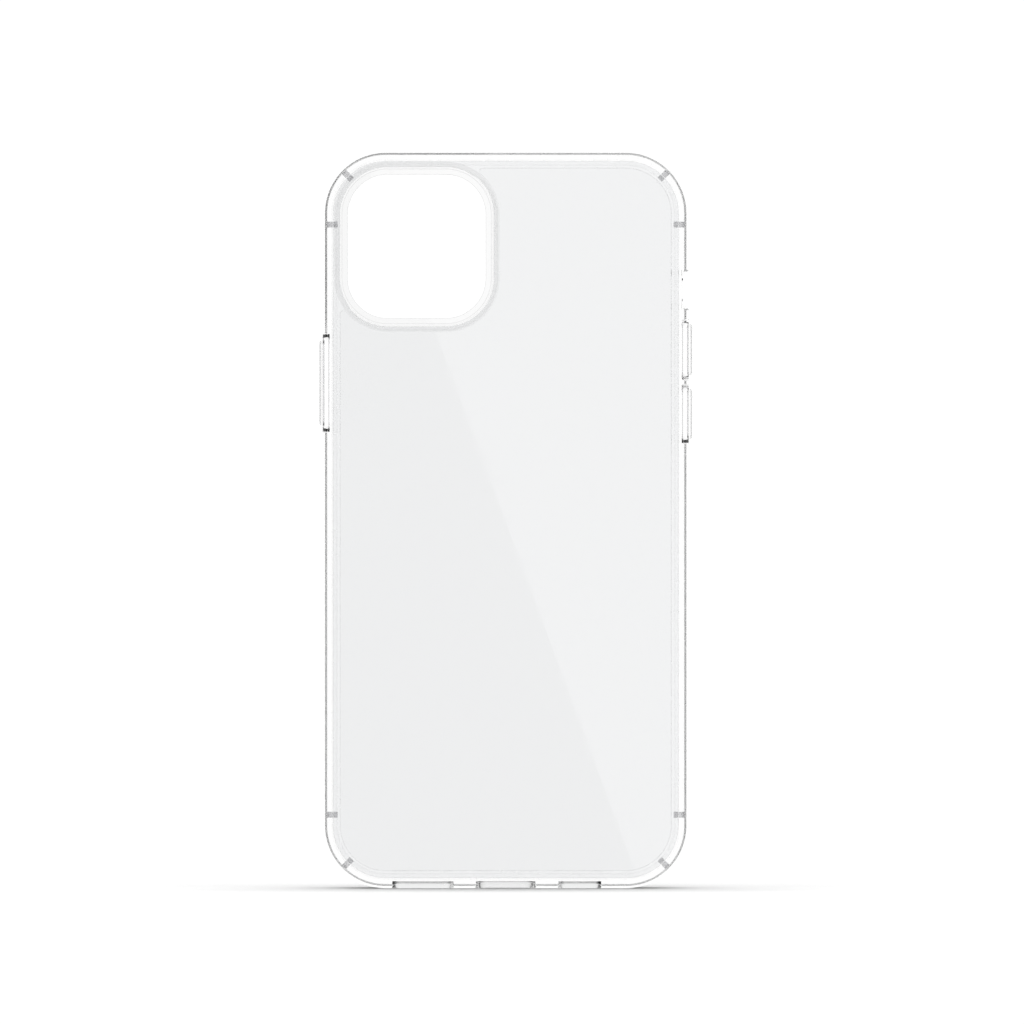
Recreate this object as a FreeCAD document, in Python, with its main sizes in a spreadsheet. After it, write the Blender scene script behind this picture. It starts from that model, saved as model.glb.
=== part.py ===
import FreeCAD, Part
import os
import Sketcher

# Clear protective case for a flat-sided 6.7-inch phone (160.8 x 78.1 x 7.8 mm).
# Frame: +Z runs up the length of the case, +X is the side with the volume pads,
# the back of the case faces -Y and the screen side faces +Y.
# The origin is the middle of the bottom edge, so the case stands upright on Z = 0.

os.makedirs("parts", exist_ok=True)
doc = FreeCAD.newDocument("phone_case")

# ---------------------------------------------------------------- dimensions
# All lengths in millimetres.
SIZES = [
    # outside of the bumper
    ("case_width", 81.6, "outside width"),
    ("case_length", 164.3, "outside length"),
    ("corner_radius", 14.06, "outside corner radius, seen from the back"),
    ("body_depth", 10.4, "bumper depth, back border to front lip"),
    ("back_fillet", 2.75, "rounding of the outer back edge"),
    ("front_fillet", 0.8, "rounding of the outer front edge"),
    # phone pocket
    ("wall", 1.75, "side wall thickness"),
    ("floor_depth", 1.3, "outer back face to the pocket floor"),
    ("pocket_depth", 7.85, "pocket floor to the underside of the lip"),
    ("lip_inset", 3.25, "outside to the lip's inner edge"),
    ("lip_rounding", 0.35, "rounding of the lip's inner edge"),
    # hard back plate
    ("plate_inset", 2.5, "outside to the plate's hidden rim"),
    ("seam_inset", 4.0, "outside to the visible seam"),
    ("cover_depth", 0.6, "bumper border over the plate's flange"),
    ("seam_tip", 0.7, "rounding of the seam's two tips by the camera"),
    ("bond_gap", 0.05, "gap round the rims of pieces that are moulded together"),
    # locking keys at the plate's rim
    ("key_width", 1.3, "width of a key"),
    ("key_outer", 1.0, "outside to the key's outer end, in the wall"),
    ("key_split", 2.6, "outside to the line between a key's two parts"),
    ("key_inner", 3.4, "outside to the key's inner end, on the flange"),
    ("key_cover", 0.8, "back face to the key's part in the wall"),
    ("key_recess", 0.2, "pocket floor to the key's part in the wall"),
    ("rib_cover", 0.3, "back face to the key's part on the flange"),
    ("key_low", 16.4, "height of the lower side keys"),
    ("key_high", 147.8, "height of the upper side keys"),
    # camera opening and its raised guard
    ("camera_cx", -19.82, "camera opening, centre across"),
    ("camera_cz", 142.92, "camera opening, centre height"),
    ("camera_width", 30.7, "camera opening, width"),
    ("camera_height", 31.9, "camera opening, height"),
    ("camera_radius", 8.9, "camera opening, corner radius"),
    ("guard_height", 1.4, "guard above the back face"),
    ("guard_width", 2.95, "guard, from the opening outwards"),
    ("guard_gap", 3.0, "opening to the plate's raised field"),
    ("guard_foot", 1.35, "opening to the plate's camera cut-out"),
    ("guard_outer_fillet", 1.3, "rounding of the guard's outer top edge"),
    ("guard_inner_fillet", 0.45, "rounding of the guard's inner top edge"),
    # pads
    ("pad_proud", 0.75, "pads above the side wall"),
    ("pad_inner", 1.25, "outside of the wall to the pads' inner face"),
    ("pad_width", 4.0, "pads, across the depth of the case"),
    ("pad_corner", 1.3, "pads, corner radius"),
    ("pad_fillet", 0.5, "rounding of the pads' outer edge"),
    ("pad_mid", 5.2, "back face to the middle of the pads"),
    ("power_low", 103.1, "power pad, lower end"),
    ("power_high", 122.0, "power pad, upper end"),
    ("volup_low", 114.2, "volume up pad, lower end"),
    ("volup_high", 125.7, "volume up pad, upper end"),
    ("voldown_low", 100.1, "volume down pad, lower end"),
    ("voldown_high", 111.2, "volume down pad, upper end"),
    # windows round the pads, and the webs in them
    ("window_side", 0.8, "pad to window, across the depth"),
    ("power_end", 1.5, "power pad to window, at each end"),
    ("volume_end", 1.0, "volume pad to window, at each end"),
    ("window_corner", 2.0, "window corner radius"),
    ("web_outer", 0.35, "outside of the wall to the web's outer face"),
    ("web_inner", 0.95, "outside of the wall to the web's inner face"),
    # mute switch scoop and opening
    ("scoop_depth", 1.35, "depth of the scoop"),
    ("scoop_low", 130.2, "scoop floor, lower end"),
    ("scoop_high", 136.4, "scoop floor, upper end"),
    ("mute_low", 130.7, "mute opening, lower end"),
    ("mute_high", 135.9, "mute opening, upper end"),
    ("mute_width", 5.0, "mute opening, across the depth"),
    ("mute_corner", 1.2, "mute opening, corner radius"),
    # openings in the bottom wall
    ("port_width", 13.3, "charging port opening"),
    ("port_depth", 6.0, "charging port opening, across the depth"),
    ("port_corner", 2.6, "charging port opening, corner radius"),
    ("slot_depth", 3.6, "sound slots, across the depth"),
    ("slot_corner", 1.75, "sound slots, corner radius"),
    ("left_slot_outer", 25.3, "left slot, far end from the middle"),
    ("left_slot_inner", 11.6, "left slot, near end"),
    ("right_slot_outer", 21.3, "right slot, far end from the middle"),
    ("right_slot_inner", 11.7, "right slot, near end"),
]
sheet = doc.addObject("Spreadsheet::Sheet", "dimensions")
sheet.Label = "dimensions"
for row, (alias, value, note) in enumerate(SIZES, 1):
    sheet.set("A%d" % row, note)
    sheet.set("B%d" % row, str(value))
    sheet.setAlias("B%d" % row, alias)
doc.recompute()
D = {alias: value for alias, value, note in SIZES}


def expr(text):
    """Prefix every dimension name in a formula with the sheet's name."""
    out, word = [], ""
    for ch in text + " ":
        if ch.isalnum() or ch == "_":
            word += ch
        else:
            out.append("dimensions." + word if word in D else word)
            out.append(ch)
            word = ""
    return "".join(out).strip()


def number(text):
    """The value of such a formula, used only to place sketch geometry near its solution."""
    total = text
    for name in sorted(D, key=len, reverse=True):
        total = total.replace(name, repr(float(D[name])))
    return arithmetic(total)


def arithmetic(text):
    """Work out + - * / and brackets over plain numbers."""
    tokens, i = [], 0
    text = text.replace(" ", "")
    while i < len(text):
        ch = text[i]
        if ch in "+-*/()":
            tokens.append(ch)
            i += 1
        else:
            j = i
            while j < len(text) and (text[j].isdigit() or text[j] == "."):
                j += 1
            tokens.append(float(text[i:j]))
            i = j
    pos = [0]

    def factor():
        tok = tokens[pos[0]]
        pos[0] += 1
        if tok == "-":
            return -factor()
        if tok == "(":
            value = total()
            pos[0] += 1
            return value
        return tok

    def term():
        value = factor()
        while pos[0] < len(tokens) and tokens[pos[0]] in ("*", "/"):
            tok = tokens[pos[0]]
            pos[0] += 1
            value = value * factor() if tok == "*" else value / factor()
        return value

    def total():
        value = term()
        while pos[0] < len(tokens) and tokens[pos[0]] in ("+", "-"):
            tok = tokens[pos[0]]
            pos[0] += 1
            value = value + term() if tok == "+" else value - term()
        return value

    return total()


# Depth positions are given from the outer back face of the border, towards the screen.
BACK = "(guard_height-body_depth)/2"


def depth(text):
    return "(%s)+(%s)" % (BACK, text)


def new_body(name):
    body = doc.addObject("PartDesign::Body", name)
    body.Label = name
    return body


def plane(body, role):
    for feature in body.Origin.OriginFeatures:
        if feature.Role == role:
            return feature
    raise ValueError(role)


# A sketch on XZ has its normal along -Y, one on YZ along +X, one on XY along +Z.
NORMAL = {"XZ_Plane": -1, "YZ_Plane": 1, "XY_Plane": 1}


def new_sketch(body, name, role, level):
    """A sketch on one of the body's own planes, moved to the given level along that axis."""
    sketch = body.newObject("Sketcher::SketchObject", name)
    sketch.AttachmentSupport = [(plane(body, role), "")]
    sketch.MapMode = "FlatFace"
    sign = "-1*" if NORMAL[role] < 0 else "1*"
    sketch.setExpression("AttachmentOffset.Base.z", expr(sign + "(" + level + ")"))
    return sketch


def rounded(sketch, x0, x1, y0, y1, r):
    """A rounded rectangle between x0..x1 and y0..y1, with all four corners of radius r."""
    a0, a1, b0, b1, rad = (number(t) for t in (x0, x1, y0, y1, r))
    V = FreeCAD.Vector
    pi = 3.141592653589793

    def arc(cx, cy, start):
        circle = Part.Circle(V(cx, cy, 0), V(0, 0, 1), rad)
        return Part.ArcOfCircle(circle, start, start + pi / 2)

    geo = [
        Part.LineSegment(V(a0 + rad, b0, 0), V(a1 - rad, b0, 0)),
        arc(a1 - rad, b0 + rad, 1.5 * pi),
        Part.LineSegment(V(a1, b0 + rad, 0), V(a1, b1 - rad, 0)),
        arc(a1 - rad, b1 - rad, 0),
        Part.LineSegment(V(a1 - rad, b1, 0), V(a0 + rad, b1, 0)),
        arc(a0 + rad, b1 - rad, pi / 2),
        Part.LineSegment(V(a0, b1 - rad, 0), V(a0, b0 + rad, 0)),
        arc(a0 + rad, b0 + rad, pi),
    ]
    base = sketch.addGeometry(geo, False)[0]
    g = [base + i for i in range(8)]
    C = Sketcher.Constraint
    rules = []
    for i in range(8):
        rules.append(C("Tangent", g[i], 2, g[(i + 1) % 8], 1))
    rules += [C("Horizontal", g[0]), C("Vertical", g[2])]
    rules += [C("Equal", g[1], g[3]), C("Equal", g[3], g[5]), C("Equal", g[5], g[7])]
    sketch.addConstraint(rules)
    named = [
        ("radius", C("Radius", g[1], rad), r),
        ("bottom", C("DistanceY", g[0], 1, b0), y0),
        ("top", C("DistanceY", g[4], 1, b1), y1),
        ("right", C("DistanceX", g[2], 1, a1), x1),
        ("left", C("DistanceX", g[6], 1, a0), x0),
    ]
    for word, rule, formula in named:
        index = sketch.addConstraint(rule)
        sketch.renameConstraint(index, word)
        sketch.setExpression("Constraints." + word, expr(formula))


def outline(sketch, inset):
    """The case's outline, moved inwards."""
    rounded(
        sketch,
        "0-case_width/2+(%s)" % inset,
        "case_width/2-(%s)" % inset,
        "%s" % inset,
        "case_length-(%s)" % inset,
        "corner_radius-(%s)" % inset,
    )


def camera(sketch, grow):
    """The camera opening's outline, moved outwards."""
    rounded(
        sketch,
        "camera_cx-camera_width/2-(%s)" % grow,
        "camera_cx+camera_width/2+(%s)" % grow,
        "camera_cz-camera_height/2-(%s)" % grow,
        "camera_cz+camera_height/2+(%s)" % grow,
        "camera_radius+(%s)" % grow,
    )


def pad(body, name, sketch, length, backwards=False):
    feature = body.newObject("PartDesign::Pad", name)
    feature.Profile = sketch
    feature.Reversed = backwards
    feature.setExpression("Length", expr(length))
    doc.recompute()
    return feature


def pocket(body, name, sketch, length, backwards=False):
    before = body.Shape.Volume
    feature = body.newObject("PartDesign::Pocket", name)
    feature.Profile = sketch
    feature.Reversed = backwards
    feature.setExpression("Length", expr(length))
    doc.recompute()
    if not body.Shape.Volume < before - 1e-6:
        raise ValueError(name + " cuts nothing")
    return feature


def edges_where(body, test):
    """Names of the edges of the body's tip that pass a test."""
    return ["Edge%d" % i for i, e in enumerate(body.Tip.Shape.Edges, 1) if test(e)]


def fillet(body, name, test, radius, at_least=1):
    found = edges_where(body, test)
    if len(found) < at_least:
        raise ValueError(name + " finds no edge")
    base = body.Tip
    feature = body.newObject("PartDesign::Fillet", name)
    feature.Base = (base, found)
    feature.setExpression("Radius", expr(radius))
    doc.recompute()
    return feature


def flat_at(axis, value, tol=1e-4):
    """Edges that lie wholly at one level along an axis (0 = X, 1 = Y, 2 = Z)."""

    def test(edge):
        box = edge.BoundBox
        low = (box.XMin, box.YMin, box.ZMin)[axis]
        high = (box.XMax, box.YMax, box.ZMax)[axis]
        return abs(low - value) < tol and abs(high - value) < tol

    return test


# ---------------------------------------------------------------- hard back plate
def plate(name, grow):
    """The plate: a thin flange, a raised field and eight keys. grow widens it in its own plane."""
    body = new_body(name)
    # flange, from the underside of the border to the pocket floor
    s = new_sketch(body, name + "_flange_outline", "XZ_Plane", depth("floor_depth"))
    outline(s, "plate_inset-(%s)" % grow)
    pad(body, name + "_flange", s, "floor_depth-cover_depth")
    # raised field inside the seam, level with the border
    s = new_sketch(body, name + "_field_outline", "XZ_Plane", depth("cover_depth"))
    outline(s, "seam_inset-(%s)" % grow)
    pad(body, name + "_field", s, "cover_depth")
    # Each key has a tongue that runs out into the bumper's wall and a rib on the flange.
    parts = (
        ("tongue", "key_outer", "key_split", "key_cover", "floor_depth-key_recess"),
        ("rib", "key_split-0.1", "key_inner", "rib_cover", "floor_depth"),
    )
    for kind, outer, inner, cover, floor in parts:
        for side, word in ((-1, "left"), (1, "right")):
            for level in ("key_low", "key_high"):
                label = "%s_%s_%s_%s" % (name, kind, word, level[4:])
                s = new_sketch(body, label + "_outline", "XZ_Plane", depth(floor))
                near = "case_width/2-(%s)-(%s)" % (inner, grow)
                far = "case_width/2-(%s)+(%s)" % (outer, grow)
                x0, x1 = (near, far) if side > 0 else ("0-(%s)" % far, "0-(%s)" % near)
                rounded(
                    s,
                    x0,
                    x1,
                    "%s-key_width/2-(%s)" % (level, grow),
                    "%s+key_width/2+(%s)" % (level, grow),
                    "0.2",
                )
                pad(body, label, s, "%s-(%s)" % (floor, cover))
        for sx in (-1, 1):
            for top in (False, True):
                label = "%s_%s_corner_%s_%s" % (
                    name,
                    kind,
                    "right" if sx > 0 else "left",
                    "top" if top else "bottom",
                )
                s = new_sketch(body, label + "_outline", "XZ_Plane", depth(floor))
                slanted(s, sx, top, grow, outer, inner)
                pad(body, label, s, "%s-(%s)" % (floor, cover))
    # the field, and the two keys beside the camera guard, stop short of it
    s = new_sketch(body, name + "_guard_outline", "XZ_Plane", depth("0-1"))
    camera(s, "guard_gap-(%s)" % grow)
    pocket(body, name + "_guard_step", s, "1+cover_depth")
    # the two tips of the field beside the guard are rounded
    back_level = number(BACK)
    step_level = back_level + D["cover_depth"]
    seam_x = -(D["case_width"] / 2 - D["seam_inset"] + number(grow))
    seam_z = D["case_length"] - D["seam_inset"] + number(grow)

    def tip(edge):
        box = edge.BoundBox
        if box.YMax - box.YMin < D["cover_depth"] - 1e-3 or box.YMax > step_level + 1e-3:
            return False
        if box.XMax - box.XMin > 1e-3 or box.ZMax - box.ZMin > 1e-3:
            return False
        at_left = abs(box.XMin - seam_x) < 1e-3 and box.ZMin > D["camera_cz"] - 20
        at_top = abs(box.ZMin - seam_z) < 1e-3 and box.XMin < D["camera_cx"] + 20
        near_left = at_left and box.ZMin < D["camera_cz"] - 2
        near_top = at_top and box.XMin > D["camera_cx"] + 2
        return near_left or near_top

    fillet(body, name + "_tips", tip, "seam_tip", 2)
    # camera cut-out
    s = new_sketch(body, name + "_cutout_outline", "XZ_Plane", depth("0-1"))
    camera(s, "guard_foot-(%s)" % grow)
    pocket(body, name + "_cutout", s, "2+floor_depth")
    return body


def slanted(sketch, sx, top, grow, outer, inner):
    """A rectangle along the 45 degree line of one corner, between two distances from the outside."""
    V = FreeCAD.Vector
    w = D["key_width"] / 2 + number(grow)
    r = D["corner_radius"]
    far = r - number(outer) + number(grow)
    near = r - number(inner) - number(grow)
    cx = sx * (D["case_width"] / 2 - r)
    cz = D["case_length"] - r if top else r
    c = 0.5**0.5
    ux, uz = sx * c, (c if top else -c)
    vx, vz = -uz, ux
    pts = [
        V(cx + a * ux + b * vx, cz + a * uz + b * vz, 0)
        for a, b in ((near, -w), (far, -w), (far, w), (near, w))
    ]
    geo = [Part.LineSegment(pts[i], pts[(i + 1) % 4]) for i in range(4)]
    geo.append(Part.LineSegment(V(cx, cz, 0), V(cx + far * ux, cz + far * uz, 0)))
    sketch.addGeometry(geo[:4], False)
    sketch.addGeometry(geo[4:], True)
    C = Sketcher.Constraint
    rules = [C("Coincident", i, 2, (i + 1) % 4, 1) for i in range(4)]
    rules += [C("Perpendicular", 0, 1), C("Perpendicular", 1, 2), C("Perpendicular", 2, 3)]
    rules += [C("Parallel", 0, 4), C("Symmetric", 1, 1, 1, 2, 4, 2)]
    sketch.addConstraint(rules)
    named = [
        ("centre_across", C("DistanceX", 4, 1, cx), "%d*(case_width/2-corner_radius)" % sx),
        (
            "centre_up",
            C("DistanceY", 4, 1, cz),
            "case_length-corner_radius" if top else "corner_radius",
        ),
        ("width", C("Distance", 1, 2 * w), "key_width+2*(%s)" % grow),
        ("length", C("Distance", 0, far - near), "(%s)-(%s)+2*(%s)" % (inner, outer, grow)),
        ("reach", C("Distance", 4, far), "corner_radius-(%s)+(%s)" % (outer, grow)),
    ]
    for word, rule, formula in named:
        index = sketch.addConstraint(rule)
        sketch.renameConstraint(index, word)
        if formula.startswith("-1*"):
            formula = "0-1*" + formula[3:]
        sketch.setExpression("Constraints." + word, expr(formula))
    angle = {(1, True): 45, (-1, True): 135, (-1, False): 225, (1, False): 315}[(sx, top)]
    index = sketch.addConstraint(C("Angle", 4, angle * 3.141592653589793 / 180))
    sketch.renameConstraint(index, "slant")


# ---------------------------------------------------------------- camera guard
def guard(name, grow):
    """The raised ring round the camera opening, with a foot that fills the plate's cut-out."""
    body = new_body(name)
    s = new_sketch(body, name + "_foot_outline", "XZ_Plane", depth("floor_depth"))
    camera(s, "guard_foot-bond_gap+(%s)" % grow)
    pad(body, name + "_foot", s, "floor_depth-cover_depth")
    s = new_sketch(body, name + "_ring_outline", "XZ_Plane", depth("cover_depth"))
    camera(s, "guard_width+(%s)" % grow)
    pad(body, name + "_ring", s, "cover_depth+guard_height")
    return body


camera_ring = guard("camera_ring", "0")
s = new_sketch(camera_ring, "camera_opening_outline", "XZ_Plane", depth("0-guard_height-1"))
camera(s, "0")
pocket(camera_ring, "camera_opening", s, "2+guard_height+floor_depth")
ring_top = number(depth("0-guard_height"))
hole_x = D["camera_cx"] - D["camera_width"] / 2


def ring_edge(inner):
    def test(edge):
        if not flat_at(1, ring_top)(edge):
            return False
        p = edge.valueAt((edge.FirstParameter + edge.LastParameter) / 2)
        dx = abs(p.x - D["camera_cx"]) - D["camera_width"] / 2
        dz = abs(p.z - D["camera_cz"]) - D["camera_height"] / 2
        r = D["camera_radius"]
        if dx > -r and dz > -r:
            out = ((dx + r) ** 2 + (dz + r) ** 2) ** 0.5 - r
        else:
            out = max(dx, dz)
        return (abs(out) < 0.1) if inner else (abs(out - D["guard_width"]) < 0.1)

    return test


fillet(camera_ring, "guard_outer_rounding", ring_edge(False), "guard_outer_fillet", 8)
fillet(camera_ring, "guard_inner_rounding", ring_edge(True), "guard_inner_fillet", 8)

back_panel = plate("back_panel", "0")

# ---------------------------------------------------------------- soft bumper
blank = new_body("bumper_blank")
s = new_sketch(blank, "bumper_outline", "XZ_Plane", depth("body_depth"))
outline(s, "0")
pad(blank, "bumper_block", s, "body_depth")
fillet(blank, "outer_back_rounding", flat_at(1, number(BACK)), "back_fillet", 8)
fillet(blank, "outer_front_rounding", flat_at(1, number(depth("body_depth"))), "front_fillet", 8)
# phone pocket, held by the lip
s = new_sketch(blank, "phone_pocket_outline", "XZ_Plane", depth("floor_depth"))
outline(s, "wall")
pocket(blank, "phone_pocket", s, "pocket_depth")
# screen opening inside the lip
s = new_sketch(blank, "screen_opening_outline", "XZ_Plane", depth("floor_depth+pocket_depth-1"))
outline(s, "lip_inset")
pocket(blank, "screen_opening", s, "body_depth")


def lip_edge(edge):
    """Both edges of the screen opening's rim."""
    for level in (number(depth("body_depth")), number(depth("floor_depth+pocket_depth"))):
        if flat_at(1, level)(edge):
            p = edge.valueAt((edge.FirstParameter + edge.LastParameter) / 2)
            dx = abs(p.x) - D["case_width"] / 2
            dz = abs(p.z - D["case_length"] / 2) - D["case_length"] / 2
            r = D["corner_radius"]
            if dx > -r and dz > -r:
                out = r - ((dx + r) ** 2 + (dz + r) ** 2) ** 0.5
            else:
                out = -max(dx, dz)
            return abs(out - D["lip_inset"]) < 0.1
    return False


fillet(blank, "lip_edge_rounding", lip_edge, "lip_rounding", 16)

# mute switch scoop in the +X wall, through the whole depth, with 45 degree ends
s = new_sketch(blank, "mute_scoop_outline", "XZ_Plane", depth("0-1"))
V = FreeCAD.Vector
half = D["case_width"] / 2
over = 1.0
x_in, x_out = half - D["scoop_depth"], half + over
z0, z1 = D["scoop_low"], D["scoop_high"]
run = D["scoop_depth"] + over
pts = [V(x_in, z0, 0), V(x_out, z0 - run, 0), V(x_out, z1 + run, 0), V(x_in, z1, 0)]
s.addGeometry([Part.LineSegment(pts[i], pts[(i + 1) % 4]) for i in range(4)], False)
C = Sketcher.Constraint
s.addConstraint([C("Coincident", i, 2, (i + 1) % 4, 1) for i in range(4)])
s.addConstraint([C("Vertical", 1), C("Vertical", 3)])
for word, rule, formula in [
    ("floor_across", C("DistanceX", 0, 1, x_in), "case_width/2-scoop_depth"),
    ("floor_low", C("DistanceY", 0, 1, z0), "scoop_low"),
    ("floor_high", C("DistanceY", 3, 1, z1), "scoop_high"),
    ("mouth_across", C("DistanceX", 1, 1, x_out), "case_width/2+1"),
    ("mouth_low", C("DistanceY", 1, 1, z0 - run), "scoop_low-scoop_depth-1"),
    ("mouth_high", C("DistanceY", 2, 1, z1 + run), "scoop_high+scoop_depth+1"),
]:
    index = s.addConstraint(rule)
    s.renameConstraint(index, word)
    s.setExpression("Constraints." + word, expr(formula))
pocket(blank, "mute_scoop", s, "body_depth+2")


def wall_window(name, side, y_mid, y_size, low, high, corner):
    """An opening through one side wall; side is +1 for +X."""
    level = "case_width/2-wall-1" if side > 0 else "0-(case_width/2+1)"
    s = new_sketch(blank, name + "_outline", "YZ_Plane", level)
    rounded(
        s,
        "(%s)-(%s)/2" % (y_mid, y_size),
        "(%s)+(%s)/2" % (y_mid, y_size),
        low,
        high,
        corner,
    )
    pocket(blank, name, s, "wall+2", True)


PAD_Y = depth("pad_mid")
WINDOW_Y = "pad_width+2*window_side"
wall_window("mute_opening", 1, PAD_Y, "mute_width", "mute_low", "mute_high", "mute_corner")
wall_window(
    "power_window", -1, PAD_Y, WINDOW_Y, "power_low-power_end", "power_high+power_end", "window_corner"
)
wall_window(
    "volume_up_window", 1, PAD_Y, WINDOW_Y, "volup_low-volume_end", "volup_high+volume_end", "window_corner"
)
wall_window(
    "volume_down_window", 1, PAD_Y, WINDOW_Y, "voldown_low-volume_end", "voldown_high+volume_end", "window_corner"
)


def floor_opening(name, x0, x1, y_size, corner):
    """An opening through the bottom wall."""
    s = new_sketch(blank, name + "_outline", "XY_Plane", "0-1")
    rounded(
        s,
        x0,
        x1,
        "(%s)-(%s)/2" % (PAD_Y, y_size),
        "(%s)+(%s)/2" % (PAD_Y, y_size),
        corner,
    )
    pocket(blank, name, s, "wall+2", True)


floor_opening("charging_port_opening", "0-port_width/2", "port_width/2", "port_depth", "port_corner")
floor_opening("left_sound_slot", "0-left_slot_outer", "0-left_slot_inner", "slot_depth", "slot_corner")
floor_opening("right_sound_slot", "right_slot_inner", "right_slot_outer", "slot_depth", "slot_corner")

# The plate and the guard are moulded in, so the bumper is cut to fit them.
plate_space = plate("plate_space", "bond_gap")
guard_space = guard("guard_space", "bond_gap")
spaces = doc.addObject("Part::MultiFuse", "moulded_in_space")
spaces.Shapes = [plate_space, guard_space]
bumper = doc.addObject("Part::Cut", "bumper_frame")
bumper.Label = "bumper_frame"
bumper.Base = blank
bumper.Tool = spaces
doc.recompute()


# ---------------------------------------------------------------- pads and webs
def button(name, side, low, high, end_gap):
    """A pad that goes through its window, and the web round it."""
    body = new_body(name)
    inner, outer = "case_width/2-pad_inner", "case_width/2+pad_proud"
    level = inner if side > 0 else "0-(%s)" % inner
    s = new_sketch(body, name + "_outline", "YZ_Plane", level)
    rounded(s, "(%s)-pad_width/2" % PAD_Y, "(%s)+pad_width/2" % PAD_Y, low, high, "pad_corner")
    pad(body, name + "_block", s, "pad_inner+pad_proud", side < 0)
    fillet(body, name + "_rounding", flat_at(0, side * number(outer)), "pad_fillet", 8)

    web_name = name.replace("power_button", "power_button_web").replace("volume_up_button", "volume_up_web")
    web_name = web_name.replace("volume_down_button", "volume_down_web")
    web = new_body(web_name)
    level = "case_width/2-web_inner" if side > 0 else "0-(case_width/2-web_inner)"
    s = new_sketch(web, web_name + "_outline", "YZ_Plane", level)
    rounded(
        s,
        "(%s)-pad_width/2-window_side+bond_gap" % PAD_Y,
        "(%s)+pad_width/2+window_side-bond_gap" % PAD_Y,
        "%s-%s+bond_gap" % (low, end_gap),
        "%s+%s-bond_gap" % (high, end_gap),
        "window_corner-bond_gap",
    )
    pad(web, web_name + "_sheet", s, "web_inner-web_outer", side < 0)
    level = "case_width/2-web_inner-1" if side > 0 else "0-(case_width/2+1)"
    s = new_sketch(web, web_name + "_hole_outline", "YZ_Plane", level)
    rounded(
        s,
        "(%s)-pad_width/2-bond_gap" % PAD_Y,
        "(%s)+pad_width/2+bond_gap" % PAD_Y,
        "%s-bond_gap" % low,
        "%s+bond_gap" % high,
        "pad_corner+bond_gap",
    )
    pocket(web, web_name + "_hole", s, "web_inner+2", True)
    return body, web


power_button, power_button_web = button("power_button", -1, "power_low", "power_high", "power_end")
volume_up_button, volume_up_web = button("volume_up_button", 1, "volup_low", "volup_high", "volume_end")
volume_down_button, volume_down_web = button(
    "volume_down_button", 1, "voldown_low", "voldown_high", "volume_end"
)
doc.recompute()

# ---------------------------------------------------------------- checks and files
for obj in doc.Objects:
    if "Invalid" in obj.State or "Error" in obj.State:
        raise ValueError("%s is %s" % (obj.Name, obj.State))

NODES = [
    back_panel,
    bumper,
    camera_ring,
    power_button,
    power_button_web,
    volume_up_button,
    volume_up_web,
    volume_down_button,
    volume_down_web,
]
for obj in NODES:
    shape = obj.Shape
    if shape.isNull() or not shape.isValid() or len(shape.Solids) != 1:
        raise ValueError("%s has a bad shape: %d solids" % (obj.Label, len(shape.Solids)))
    box = shape.BoundBox
    print(
        "%-20s volume %9.2f  x %7.2f %7.2f  y %6.2f %6.2f  z %7.2f %7.2f"
        % (obj.Label, shape.Volume, box.XMin, box.XMax, box.YMin, box.YMax, box.ZMin, box.ZMax)
    )
for obj in NODES:
    obj.Shape.exportStep("parts/%s.step" % obj.Label)
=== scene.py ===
import math

import bpy
import numpy as np
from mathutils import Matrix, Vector
from mathutils.geometry import delaunay_2d_cdt


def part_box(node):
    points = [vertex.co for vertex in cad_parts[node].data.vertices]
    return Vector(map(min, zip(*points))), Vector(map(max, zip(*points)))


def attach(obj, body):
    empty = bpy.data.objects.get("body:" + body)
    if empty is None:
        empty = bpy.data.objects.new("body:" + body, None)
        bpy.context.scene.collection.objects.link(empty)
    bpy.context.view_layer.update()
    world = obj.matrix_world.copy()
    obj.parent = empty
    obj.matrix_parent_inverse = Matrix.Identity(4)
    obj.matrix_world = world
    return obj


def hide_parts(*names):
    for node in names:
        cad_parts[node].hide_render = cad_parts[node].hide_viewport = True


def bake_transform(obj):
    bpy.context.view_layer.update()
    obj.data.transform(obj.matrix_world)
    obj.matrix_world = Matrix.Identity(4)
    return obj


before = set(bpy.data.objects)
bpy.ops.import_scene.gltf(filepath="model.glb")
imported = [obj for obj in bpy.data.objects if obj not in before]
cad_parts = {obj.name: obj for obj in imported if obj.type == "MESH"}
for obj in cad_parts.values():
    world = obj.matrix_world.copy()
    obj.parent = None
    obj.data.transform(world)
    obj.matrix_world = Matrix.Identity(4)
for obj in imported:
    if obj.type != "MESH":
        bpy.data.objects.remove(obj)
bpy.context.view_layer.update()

# ------------------------------------------------------------------ sizes
# Everything below is in millimetres until the meshes are made. The outside sizes and all
# positions come from the CAD boxes; the rest are the section sizes of the moulding.
def mm(node):
    lo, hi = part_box(node)
    return np.array(lo) * 1000, np.array(hi) * 1000


BL, BH = mm("bumper_frame")
PL, PH = mm("back_panel")
RL, RH = mm("camera_ring")
HALF = (BH[0] - BL[0]) / 2
MID = (BH[0] + BL[0]) / 2
TOP, BOTTOM = BH[2], BL[2]
BACK = BL[1]  # Y of the outer back face; the depths below count from it towards the screen
DEPTH = BH[1] - BL[1]
R = 14.06
RB, RF = 2.75, 0.8
WALL, FLOOR, LIP, LIPR = 1.75, PH[1] - BACK, 3.25, 0.35
SOFTEN = 0.14  # rounding of the border's edge at the seam
UNDER = FLOOR + 7.85  # underside of the lip
COVER = 0.6
RIM, SEAM, TIP = 2.4, 4.0, 0.7
GAP = 0.05
GUARD = BACK - RL[1]
GW = 2.95
HOLE_C = np.array([(RL[0] + RH[0]) / 2, (RL[2] + RH[2]) / 2])
HOLE_H = np.array([(RH[0] - RL[0]) / 2 - GW, (RH[2] - RL[2]) / 2 - GW])
HOLE_R = 8.9
FOOT = 1.35


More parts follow.
